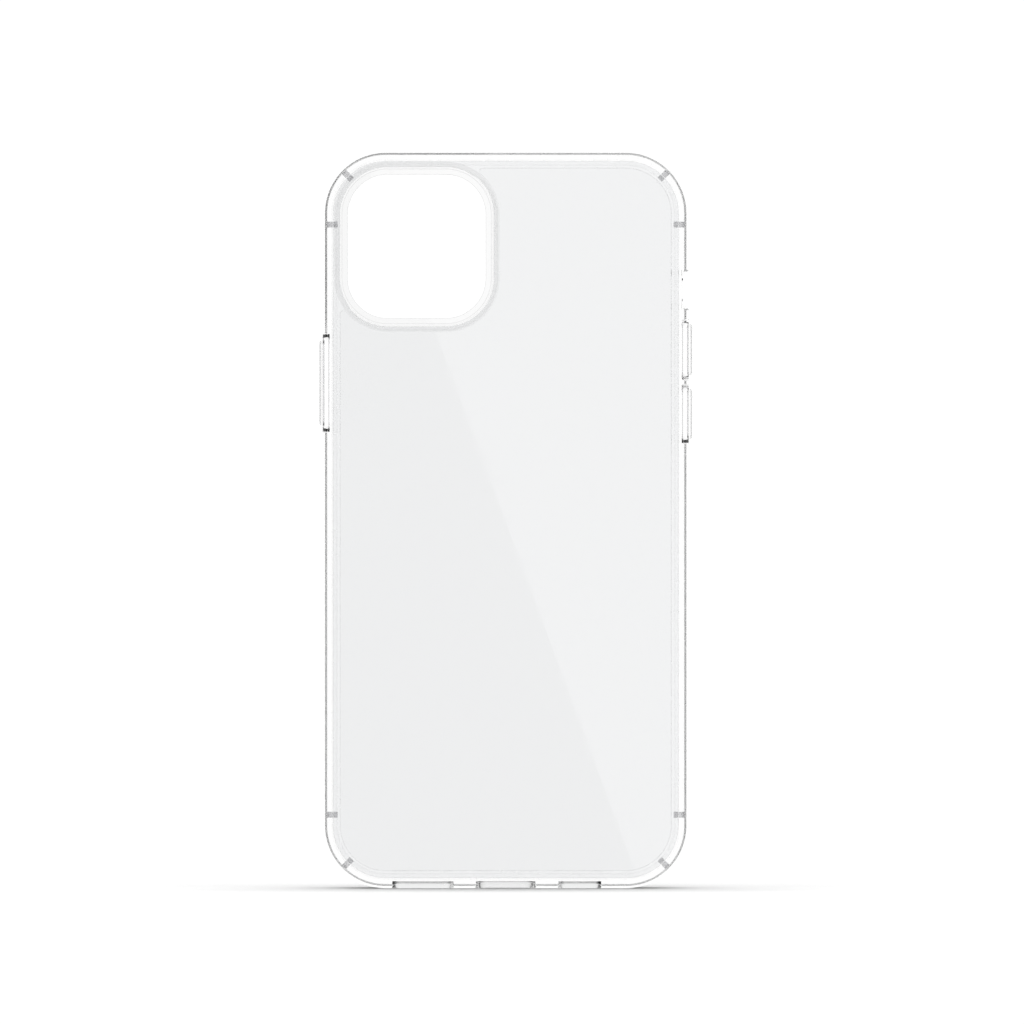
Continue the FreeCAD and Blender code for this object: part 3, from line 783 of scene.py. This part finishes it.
def guard_profile(k):
    """The guard's outer side at one station: flat top, shoulder, slope and foot. The foot comes in
    where the guard runs along the case's own rounding."""
    cx, cz, nx, nz = GS[k]
    foot = 2.2 + (2.86 - 2.2) * smooth(-0.7, 0.7, nx - nz)
    top_end, rs, rf = 1.33, 0.35, 0.55
    h = GUARD
    # slope angle so that shoulder, slope and foot meet exactly
    lo, hi = math.radians(10), math.radians(85)
    for _ in range(50):
        a = (lo + hi) / 2
        run = rs * math.sin(a) + rf * math.sin(a)
        drop = rs * (1 - math.cos(a)) + rf * (1 - math.cos(a))
        need = foot - top_end - run
        have = (h - drop) / math.tan(a)
        if have > need:
            lo = a
        else:
            hi = a
    a = (lo + hi) / 2
    out = []
    for i in range(9):
        t = a * i / 8
        out.append((top_end + rs * math.sin(t), -h + rs * (1 - math.cos(t)), math.sin(t), -math.cos(t)))
    for i in range(9):
        t = a * (1 - i / 8)
        out.append((foot - rf * math.sin(t), -rf * (1 - math.cos(t)), math.sin(t), -math.cos(t)))
    return out


def make_guard():
    skin = Skin()
    count = len(GS)
    r1 = 0.14
    profiles = [guard_profile(k) for k in range(count)]
    rows = []
    # (offset, depth, normal out, normal depth) for every station, as separate smooth runs
    def same(run):
        return [[r] * count for r in run]

    runs = [same([(0, FLOOR - 0.1, -1, 0), (0, -GUARD + r1, -1, 0)])]
    arc_in = []
    for i in range(6):
        t = math.radians(90 * i / 5)
        arc_in.append((r1 * (1 - math.cos(t)), -GUARD + r1 * (1 - math.sin(t)), -math.cos(t), -math.sin(t)))
    runs.append(same(arc_in))
    brink = [(p[0][0] - 0.15, p[0][1], 0, -1) for p in profiles]
    runs.append([[(r1, -GUARD, 0, -1)] * count, brink, [p[0][:2] + (0, -1) for p in profiles]])
    runs.append([[p[i] for p in profiles] for i in range(len(profiles[0]))])
    runs.append([[p[-1][:2] + (0, -1) for p in profiles], [(GW, 0, 0, -1)] * count])
    runs.append(same([(GW, 0, 1, 0), (GW, COVER - 0.02, 1, 0)]))
    runs.append(same([(GW, COVER - 0.02, 0, 1), (FOOT - GAP, COVER - 0.02, 0, 1)]))
    runs.append(same([(FOOT - GAP, COVER - 0.02, 1, 0), (FOOT - GAP, FLOOR, 1, 0)]))
    runs.append(same([(FOOT - GAP, FLOOR, 0, 1), (0.1, FLOOR, 0, 1)]))
    low = []
    for i in range(5):
        t = math.radians(90 * i / 4)
        low.append((0.1 - 0.1 * math.sin(t), FLOOR - 0.1 + 0.1 * math.cos(t), -math.sin(t), math.cos(t)))
    runs.append(same(low))
    for which, run in enumerate(runs):
        for step, (a, b) in enumerate(zip(run, run[1:])):
            # the guard's inner rounded rim and a thin strip of its top take the darker edge material: painted shade
            # along the rim
            skin.mat = 1 if which == 1 or (which == 2 and step == 1) else 0
            la = [at_guard(k, a[k][0], a[k][1]) for k in range(count)]
            lb = [at_guard(k, b[k][0], b[k][1]) for k in range(count)]
            na = [(GS[k][2] * a[k][2], a[k][3], GS[k][3] * a[k][2]) for k in range(count)]
            nb = [(GS[k][2] * b[k][2], b[k][3], GS[k][3] * b[k][2]) for k in range(count)]
            skin.strip(la, lb, na, nb)
    return skin


# ------------------------------------------------------------------ hard plate
def case_loop(inset):
    """The case's outline moved inwards, without the side stations: points and normals."""
    pts, nrm = rounded(MID, (TOP + BOTTOM) / 2, HALF - inset, (TOP - BOTTOM) / 2 - inset, R - inset, CORNER_STEPS)
    return pts, nrm


def make_plate():
    skin = Skin()
    re = 0.14

    def field(grow):
        case, near, far = seam_parts(grow)
        return case, near

    loops = []
    mixes = [math.sin(math.radians(90 * i / 4)) for i in range(5)]
    for mix in mixes:
        case, near = field(-re * (1 - mix))
        loops.append((case + near, re * (1 - math.sqrt(1 - mix * mix))))
    # normals from the outermost loop
    full = loops[-1][0]
    keep = []
    for k, p in enumerate(full):
        q = full[k - 1]
        if abs(p[0] - q[0]) > 1e-3 or abs(p[1] - q[1]) > 1e-3:
            keep.append(k)
    loops = [([l[k] for k in keep], y) for l, y in loops]
    seg = loop_normals(loops[-1][0])
    n = len(seg)
    vn = []
    for k in range(n):
        a, b = seg[k - 1], seg[k]
        wa, wb = 1.0, 1.0
        if a[2] > 3 * b[2]:
            wb = 0.0
        elif b[2] > 3 * a[2]:
            wa = 0.0
        x, z = a[0] * wa + b[0] * wb, a[1] * wa + b[1] * wb
        length = math.hypot(x, z) or 1
        vn.append((x / length, z / length))
    # the plate's rounded edge along the seam takes the darker edge material: painted shade along the seam
    skin.mat = 1
    for (la, ya), (lb, yb), ma, mb in zip(loops, loops[1:], mixes, mixes[1:]):
        pa = [(p[0], BACK + ya, p[1]) for p in la]
        pb = [(p[0], BACK + yb, p[1]) for p in lb]
        na = [(v[0] * ma, -math.sqrt(1 - ma * ma), v[1] * ma) for v in vn]
        nb = [(v[0] * mb, -math.sqrt(max(0.0, 1 - mb * mb)), v[1] * mb) for v in vn]
        skin.strip(pa, pb, na, nb)
    skin.mat = 0
    top = loops[0][0]
    pts, tris = triangles(top)
    lifted(skin, pts, tris, lambda x, z: (x, BACK, z), lambda x, z: (0.0, -1.0, 0.0))
    edge = loops[-1][0]
    wn = [(v[0], 0.0, v[1]) for v in vn]
    skin.strip([(p[0], BACK + re, p[1]) for p in edge], [(p[0], BACK + COVER, p[1]) for p in edge], wn, wn)
    rr = 0.15  # rounding of the flange's rim
    rim, rim_n = case_loop(RIM + rr)
    cut, cut_n = camera_outline(FOOT)
    pts, tris = triangles(rim, [edge, cut])
    lifted(skin, pts, tris, lambda x, z: (x, BACK + COVER, z), lambda x, z: (0.0, -1.0, 0.0))
    pts, tris = triangles(rim, [cut])
    lifted(skin, pts, tris, lambda x, z: (x, BACK + FLOOR, z), lambda x, z: (0.0, 1.0, 0.0))
    nn = [(-v[0], 0.0, -v[1]) for v in cut_n]
    skin.strip([(p[0], BACK + COVER, p[1]) for p in cut], [(p[0], BACK + FLOOR, p[1]) for p in cut], nn, nn)
    rows = []
    for i in range(9):
        t = math.radians(90 * (i if i < 5 else i - 1) / 4) if i < 5 else math.radians(90 * (8 - i) / 4)
        low = i < 5
        loop, normals = case_loop(RIM + rr * (1 - math.sin(t)))
        y = COVER + rr * (1 - math.cos(t)) if low else FLOOR - rr * (1 - math.cos(t))
        up = -math.cos(t) if low else math.cos(t)
        rows.append(([(p[0], BACK + y, p[1]) for p in loop], [(v[0] * math.sin(t), up, v[1] * math.sin(t)) for v in normals]))
    rows.insert(5, ([(p[0], BACK + FLOOR - rr, p[1]) for p in case_loop(RIM)[0]], [(v[0], 0.0, v[1]) for v in case_loop(RIM)[1]]))
    # the flange's rounded rim takes the darker edge material: painted shade along the rim
    skin.mat = 1
    for (la, na), (lb, nb) in zip(rows, rows[1:]):
        skin.strip(la, lb, na, nb)
    skin.mat = 0
    return skin


# ------------------------------------------------------------------ pads and webs
def side_place(side):
    """Maps (height, depth, distance below the wall's surface) to a point on one side."""

    def place(z, y, down):
        return (MID + side * (HALF - down), y, z)

    return place


def pad_outline(lo, hi, grow, r, n=12):
    cz, hz = (lo[2] + hi[2]) / 2, (hi[2] - lo[2]) / 2 + grow
    cy, hy = (lo[1] + hi[1]) / 2, (hi[1] - lo[1]) / 2 + grow
    return rounded(cz, cy, hz, hy, r + grow, n)


def make_pad(node):
    lo, hi = pad_boxes[node]
    side = -1 if lo[0] < 0 else 1
    place = side_place(side)
    skin = Skin()
    fr = 0.5
    proud, inner = 0.75, 1.25
    rows = []
    pts, nrm = pad_outline(lo, hi, 0, 1.3)
    count = len(pts)

    def row(inset, down, out, up):
        return (
            [place(pts[k][0] - nrm[k][0] * inset, pts[k][1] - nrm[k][1] * inset, down) for k in range(count)],
            [(side * up, nrm[k][1] * out, nrm[k][0] * out) for k in range(count)],
        )

    def between(a, b):
        skin.strip(a[0], b[0], a[1], b[1])

    ri = 0.1
    rows = []
    for i in range(4):
        t = math.radians(90 * i / 3)
        rows.append(row(ri * (1 - math.sin(t)), inner - ri * (1 - math.cos(t)), math.sin(t), -math.cos(t)))
    for i in range(9):
        t = math.radians(90 * i / 8)
        rows.append(row(fr * (1 - math.cos(t)), -proud + fr * (1 - math.sin(t)), math.cos(t), math.sin(t)))
    for a, b in zip(rows, rows[1:]):
        between(a, b)
    # the outer face is flat: two rings and a flat middle
    rings = []
    for inset in (fr, 0.9, 1.25):
        crown = 0.0
        rings.append(row(inset, -proud, 0, 1))
    between(rings[0], rings[1])
    between(rings[1], rings[2])
    flat = [(p[2], p[1]) for p in rings[-1][0]]
    pts2, tris = triangles(tidy(flat))
    lifted(skin, pts2, tris, lambda z, y: place(z, y, -proud), lambda z, y: (side * 1.0, 0.0, 0.0))
    flat = [(p[2], p[1]) for p in rows[0][0]]
    pts2, tris = triangles(tidy(flat))
    lifted(skin, pts2, tris, lambda z, y: place(z, y, inner), lambda z, y: (-side * 1.0, 0.0, 0.0))
    return skin


def make_web(node, end):
    lo, hi = pad_boxes[node]
    side = -1 if lo[0] < 0 else 1
    place = side_place(side)
    skin = Skin()
    n = 12
    cz, cy = (lo[2] + hi[2]) / 2, (lo[1] + hi[1]) / 2
    hz, hy = (hi[2] - lo[2]) / 2, (hi[1] - lo[1]) / 2
    inner_pts, inner_n = rounded(cz, cy, hz + GAP, hy + GAP, 1.3 + GAP, n)
    outer_pts, outer_n = rounded(cz, cy, hz + end - GAP, hy + 0.8 - GAP, 2.0 - GAP, n)
    count = len(inner_pts)
    weights = {}

    def row(t, down, nrm_out, up):
        ps, ns = [], []
        for k in range(count):
            z = outer_pts[k][0] * (1 - t) + inner_pts[k][0] * t
            y = outer_pts[k][1] * (1 - t) + inner_pts[k][1] * t
            p = place(z, y, down)
            ps.append(p)
            ns.append((side * up, inner_n[k][1] * nrm_out, inner_n[k][0] * nrm_out))
        return ps, ns

    top, bottom = [], []
    for i in range(7):
        t = i / 6
        dip = 0.12 * math.sin(math.pi * t) ** 2
        top.append(row(t, 0.35 + dip, 0, 1))
        bottom.append(row(t, 0.95, 0, -1))
    for run in (top, bottom):
        for a, b in zip(run, run[1:]):
            skin.strip(a[0], b[0], a[1], b[1])
    a, b = row(0, 0.35, 1, 0), row(0, 0.95, 1, 0)
    skin.strip(a[0], b[0], a[1], b[1])
    a, b = row(1, 0.35, -1, 0), row(1, 0.95, -1, 0)
    skin.strip(a[0], b[0], a[1], b[1])
    ramp = {}
    for i in range(7):
        for run in (top, bottom):
            for p in run[i][0]:
                ramp[skin.vert(p)] = i / 6
    return skin, [ramp.get(i, 0.0) for i in range(len(skin.v))]


# ------------------------------------------------------------------ locking keys
def make_key(cx, cz, ang, d0, d1, y0, y1, w):
    """A small block along a direction, between two insets from the outside and two depths."""
    skin = Skin()
    ux, uz = math.cos(ang), math.sin(ang)
    vx, vz = -uz, ux
    r = 0.12
    n = 5
    pts, nrm = rounded((d0 + d1) / 2, 0, (d1 - d0) / 2, w / 2, r, n)

    def row(inset, y, out, up):
        ps, ns = [], []
        for p, q in zip(pts, nrm):
            a = p[0] - q[0] * inset
            b = p[1] - q[1] * inset
            ps.append((cx + ux * a + vx * b, BACK + y, cz + uz * a + vz * b))
            ns.append(((ux * q[0] + vx * q[1]) * out, up, (uz * q[0] + vz * q[1]) * out))
        return ps, ns

    e = 0.05
    rows = [row(e, y0, 0, -1), row(e * 0.3, y0 + e * 0.3, 0.7071, -0.7071), row(0, y0 + e, 1, 0), row(0, y1 - e, 1, 0), row(e * 0.3, y1 - e * 0.3, 0.7071, 0.7071), row(e, y1, 0, 1)]
    for a, b in zip(rows, rows[1:]):
        skin.strip(a[0], b[0], a[1], b[1])
    for r_, up in ((rows[0], -1.0), (rows[-1], 1.0)):
        centre = tuple(np.mean(np.array(r_[0]), axis=0))
        m = len(r_[0])
        for k in range(m):
            skin.face([centre, r_[0][k], r_[0][(k + 1) % m]], [(0.0, up, 0.0)] * 3)
    return skin


def check_closed(skin, name):
    count = {}
    for f in skin.f:
        for a, b in zip(f, f[1:] + f[:1]):
            count[(a, b)] = count.get((a, b), 0) + 1
    bad = [e for e in count if count.get((e[1], e[0]), 0) != count[e] or count[e] != 1]
    print("MESH %s: %d verts %d faces, %d open or odd edges" % (name, len(skin.v), len(skin.f), len(bad)))
    for e in bad[:8]:
        print("   ", [round(c, 3) for c in skin.v[e[0]]], [round(c, 3) for c in skin.v[e[1]]])
    return len(bad)


# ------------------------------------------------------------------ materials
def clear_plastic(name, tint, ior, rough, ripple, scale):
    """Clear plastic: full transmission, with a faint uneven gloss and a very slight ripple from moulding."""
    mat = bpy.data.materials.new(name)
    mat.use_nodes = True
    nt = mat.node_tree
    nt.nodes.clear()
    out = nt.nodes.new("ShaderNodeOutputMaterial")
    bsdf = nt.nodes.new("ShaderNodeBsdfPrincipled")
    nt.links.new(bsdf.outputs["BSDF"], out.inputs["Surface"])
    bsdf.inputs["Base Color"].default_value = (*tint, 1)
    bsdf.inputs["Transmission Weight"].default_value = 1.0
    bsdf.inputs["IOR"].default_value = ior
    coord = nt.nodes.new("ShaderNodeTexCoord")
    noise = nt.nodes.new("ShaderNodeTexNoise")
    noise.inputs["Scale"].default_value = scale
    noise.inputs["Detail"].default_value = 3.0
    nt.links.new(coord.outputs["Object"], noise.inputs["Vector"])
    ramp = nt.nodes.new("ShaderNodeMapRange")
    ramp.inputs["From Min"].default_value = 0.3
    ramp.inputs["From Max"].default_value = 0.7
    ramp.inputs["To Min"].default_value = rough[0]
    ramp.inputs["To Max"].default_value = rough[1]
    nt.links.new(noise.outputs["Fac"], ramp.inputs["Value"])
    nt.links.new(ramp.outputs["Result"], bsdf.inputs["Roughness"])
    if ripple:
        wave = nt.nodes.new("ShaderNodeTexNoise")
        wave.inputs["Scale"].default_value = ripple[0]
        wave.inputs["Detail"].default_value = 1.0
        nt.links.new(coord.outputs["Object"], wave.inputs["Vector"])
        bump = nt.nodes.new("ShaderNodeBump")
        bump.inputs["Strength"].default_value = 1.0
        bump.inputs["Distance"].default_value = ripple[1]
        nt.links.new(wave.outputs["Fac"], bump.inputs["Height"])
        nt.links.new(bump.outputs["Normal"], bsdf.inputs["Normal"])
    return mat


soft_mat = clear_plastic("soft_clear", (0.995, 0.995, 0.995), 1.5, (0.0, 0.03), (90, 0.000004), 600)
plate_mat = clear_plastic("hard_clear", (0.83, 0.835, 0.84), 1.55, (0.0, 0.02), None, 300)
guard_mat = clear_plastic("guard_clear", (0.905, 0.905, 0.905), 1.5, (0.0, 0.04), (110, 0.000004), 700)
# guard_edge, soft_edge and hard_edge are rougher, darker copies of the clear plastics for rounded rims and seams: the
# roughness is the edges' own finish, the darker tint is painted shade that draws the dark rim lines
guard_edge_mat = clear_plastic("guard_edge", (0.7, 0.7, 0.7), 1.5, (0.1, 0.3), None, 900)
edge_mat = clear_plastic("soft_edge", (0.94, 0.94, 0.94), 1.5, (0.1, 0.3), None, 900)
plate_edge_mat = clear_plastic("hard_edge", (0.8, 0.805, 0.81), 1.55, (0.1, 0.3), None, 900)
# soft_matte_painted_shade lines the bottom openings' tunnels: its roughness is a matte finish, its dark grey tint is
# painted shade inside the openings
tunnel_shade_mat = clear_plastic("soft_matte_painted_shade", (0.66, 0.66, 0.66), 1.5, (0.25, 0.4), None, 900)
pad_mat = clear_plastic("pad_clear", (0.93, 0.93, 0.93), 1.5, (0.02, 0.06), (300, 0.000004), 900)
web_mat = clear_plastic("web_clear", (0.93, 0.93, 0.93), 1.5, (0.02, 0.08), (400, 0.000004), 900)
key_mat = clear_plastic("key_clear", (0.55, 0.55, 0.56), 1.55, (0.15, 0.3), (900, 0.00001), 1500)


# ------------------------------------------------------------------ the pieces
def add(skin, name, mat, slot, *nodes, edge=()):
    check_closed(skin, name)
    ob = skin.build(name, [mat, *edge])
    if nodes:
        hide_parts(*nodes)
    return ob


case_bumper = add(make_bumper(), "soft_bumper", soft_mat, "soft_bumper", "bumper_frame", edge=(edge_mat, tunnel_shade_mat))
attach(case_bumper, "case_body")
case_guard = add(make_guard(), "camera_guard", guard_mat, "soft_bumper", "camera_ring", edge=(guard_edge_mat,))
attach(case_guard, "case_body")
case_plate = add(make_plate(), "hard_plate", plate_mat, "hard_plate", "back_panel", edge=(plate_edge_mat,))
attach(case_plate, "case_body")

KEY_W = 1.3
ends = []
for sx in (-1, 1):
    for z in (16.4, 147.8):
        ends.append(("side", MID + sx * HALF, z, 0.0 if sx < 0 else math.pi, 0.0))
for sx in (-1, 1):
    for sz in (-1, 1):
        cx = MID + sx * SX
        cz = SZ1 if sz > 0 else SZ0
        ang = math.atan2(sz, sx)
        ends.append(("corner", cx + math.cos(ang) * R, cz + math.sin(ang) * R, ang + math.pi, 0.0))
for i, (kind, x, z, ang, _) in enumerate(ends):
    tongue = make_key(x, z, ang, 1.0, 2.33, 0.8, 1.1, KEY_W)
    ob = add(tongue, "key_tongue_%d" % (i + 1), key_mat, "hard_plate")
    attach(ob, "case_body")
    rib = make_key(x, z, ang, 2.46, 3.4, 0.3, 0.56, KEY_W)
    ob = add(rib, "key_rib_%d" % (i + 1), key_mat, "hard_plate")
    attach(ob, "case_body")

PADS = (
    ("power_button", "power_pad", "power_key", "power_button_web", "power_web", 1.5),
    ("volume_up_button", "volume_up_pad", "volume_up_key", "volume_up_web", "volume_up_skin", 1.0),
    ("volume_down_button", "volume_down_pad", "volume_down_key", "volume_down_web", "volume_down_skin", 1.0),
)
for node, name, body, web_node, web_name, end in PADS:
    ob = add(make_pad(node), name, pad_mat, "pads", node)
    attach(ob, body)
    skin, ramp = make_web(node, end)
    web = add(skin, web_name, web_mat, "webs", web_node)
    lo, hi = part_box(web_node)
    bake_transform(web)
    w = np.array(ramp, np.float32)

# ------------------------------------------------------------------ studio
def emission(name, value, tint=(1, 1, 1)):
    mat = bpy.data.materials.new(name)
    mat.use_nodes = True
    nt = mat.node_tree
    nt.nodes.clear()
    out = nt.nodes.new("ShaderNodeOutputMaterial")
    em = nt.nodes.new("ShaderNodeEmission")
    em.inputs["Color"].default_value = (*tint, 1)
    em.inputs["Strength"].default_value = value
    nt.links.new(em.outputs["Emission"], out.inputs["Surface"])
    return mat


def panel(name, corners, mat, seen):
    """A flat stage piece. seen lists the rays that meet it: camera, diffuse, glossy, transmission."""
    me = bpy.data.meshes.new(name)
    me.from_pydata(corners, [], [tuple(range(len(corners)))])
    me.materials.append(mat)
    ob = bpy.data.objects.new(name, me)
    bpy.context.scene.collection.objects.link(ob)
    ob.visible_camera = "camera" in seen
    ob.visible_diffuse = "diffuse" in seen
    ob.visible_glossy = "glossy" in seen
    ob.visible_transmission = "transmission" in seen
    ob.visible_shadow = False
    return ob


WHITE = 1.06
world = bpy.data.worlds.new("studio")
bpy.context.scene.world = world
world.use_nodes = True
bg = world.node_tree.nodes["Background"]
bg.inputs["Color"].default_value = (1, 1, 1, 1)
bg.inputs["Strength"].default_value = WHITE

# pale floor
floor_mat = bpy.data.materials.new("pale_floor")
floor_mat.use_nodes = True
nt = floor_mat.node_tree
b = nt.nodes["Principled BSDF"]
b.inputs["Base Color"].default_value = (0.95, 0.95, 0.95, 1)
b.inputs["Roughness"].default_value = 0.8
b.inputs["Specular IOR Level"].default_value = 0.0
b.inputs["Emission Color"].default_value = (1, 1, 1, 1)
b.inputs["Emission Strength"].default_value = 0.05
# the soft shadow where the case meets the floor
near = nt.nodes.new("ShaderNodeAmbientOcclusion")
near.samples = 16
near.inputs["Distance"].default_value = 0.05
deep = nt.nodes.new("ShaderNodeMath")
deep.operation = "POWER"
deep.inputs[1].default_value = 1.05
nt.links.new(near.outputs["AO"], deep.inputs[0])
shade = nt.nodes.new("ShaderNodeMix")
shade.data_type = "RGBA"
shade.inputs["A"].default_value = (0.0, 0.0, 0.0, 1)
shade.inputs["B"].default_value = (0.95, 0.95, 0.95, 1)
nt.links.new(deep.outputs["Value"], shade.inputs["Factor"])
nt.links.new(shade.outputs["Result"], b.inputs["Base Color"])
nt.links.new(deep.outputs["Value"], b.inputs["Emission Color"])
ground = [(-12, -12, 0), (12, -12, 0), (12, 12, 0), (-12, 12, 0)]
floor = panel("floor", ground, floor_mat, ("camera", "diffuse"))

# dark flags all round the object at arm's length
black = emission("black_flag", 0.03)
FS = 0.9


def surround(name, y0, y1):
    low, up = -FS, 0.16 + FS
    for part, corners in (
        ("left", [(-FS, y0, low), (-FS, y0, up), (-FS, y1, up), (-FS, y1, low)]),
        ("right", [(FS, y0, low), (FS, y0, up), (FS, y1, up), (FS, y1, low)]),
        ("top", [(-FS, y0, up), (FS, y0, up), (FS, y1, up), (-FS, y1, up)]),
        ("low", [(-FS, y0, low), (FS, y0, low), (FS, y1, low), (-FS, y1, low)]),
    ):
        panel(name + "_" + part, corners, black, ("glossy", "transmission"))


surround("flag", -0.03, -0.68)

# a grey card behind the camera, left of a slanted line near the camera's axis
CX, CZ = 0.0014, 0.0838
DIST = 4.0
slope = 0.37
grey = emission("grey_card", 0.35)
y = -DIST - 0.15
zt, zb = CZ + 3.0, CZ - 3.0
EX = CX - 0.0045
panel(
    "grey_card",
    [(-4.0, y, zb), (EX + slope * (CZ - zb), y, zb), (EX - slope * (zt - CZ), y, zt), (-4.0, y, zt)],
    grey,
    ("glossy",),
)

cam_data = bpy.data.cameras.new("camera")
cam = bpy.data.objects.new("camera", cam_data)
bpy.context.scene.collection.objects.link(cam)
cam.location = (CX, -DIST + BACK / 1000, CZ)
cam.rotation_euler = (math.radians(90), 0, 0)
cam_data.sensor_width = 36
cam_data.sensor_fit = "HORIZONTAL"
view_width = 1024 / 4.492 / 1000
cam_data.lens = 36 * DIST / view_width
cam_data.clip_end = 100
bpy.context.scene.camera = cam

sc = bpy.context.scene
sc.view_settings.view_transform = "Standard"
sc.view_settings.look = "None"
cy = sc.cycles
cy.max_bounces = 24
cy.transmission_bounces = 24
cy.glossy_bounces = 8
cy.diffuse_bounces = 4
cy.transparent_max_bounces = 24
cy.use_denoising = True
cy.caustics_refractive = True
cy.caustics_reflective = True
cy.blur_glossy = 0.0
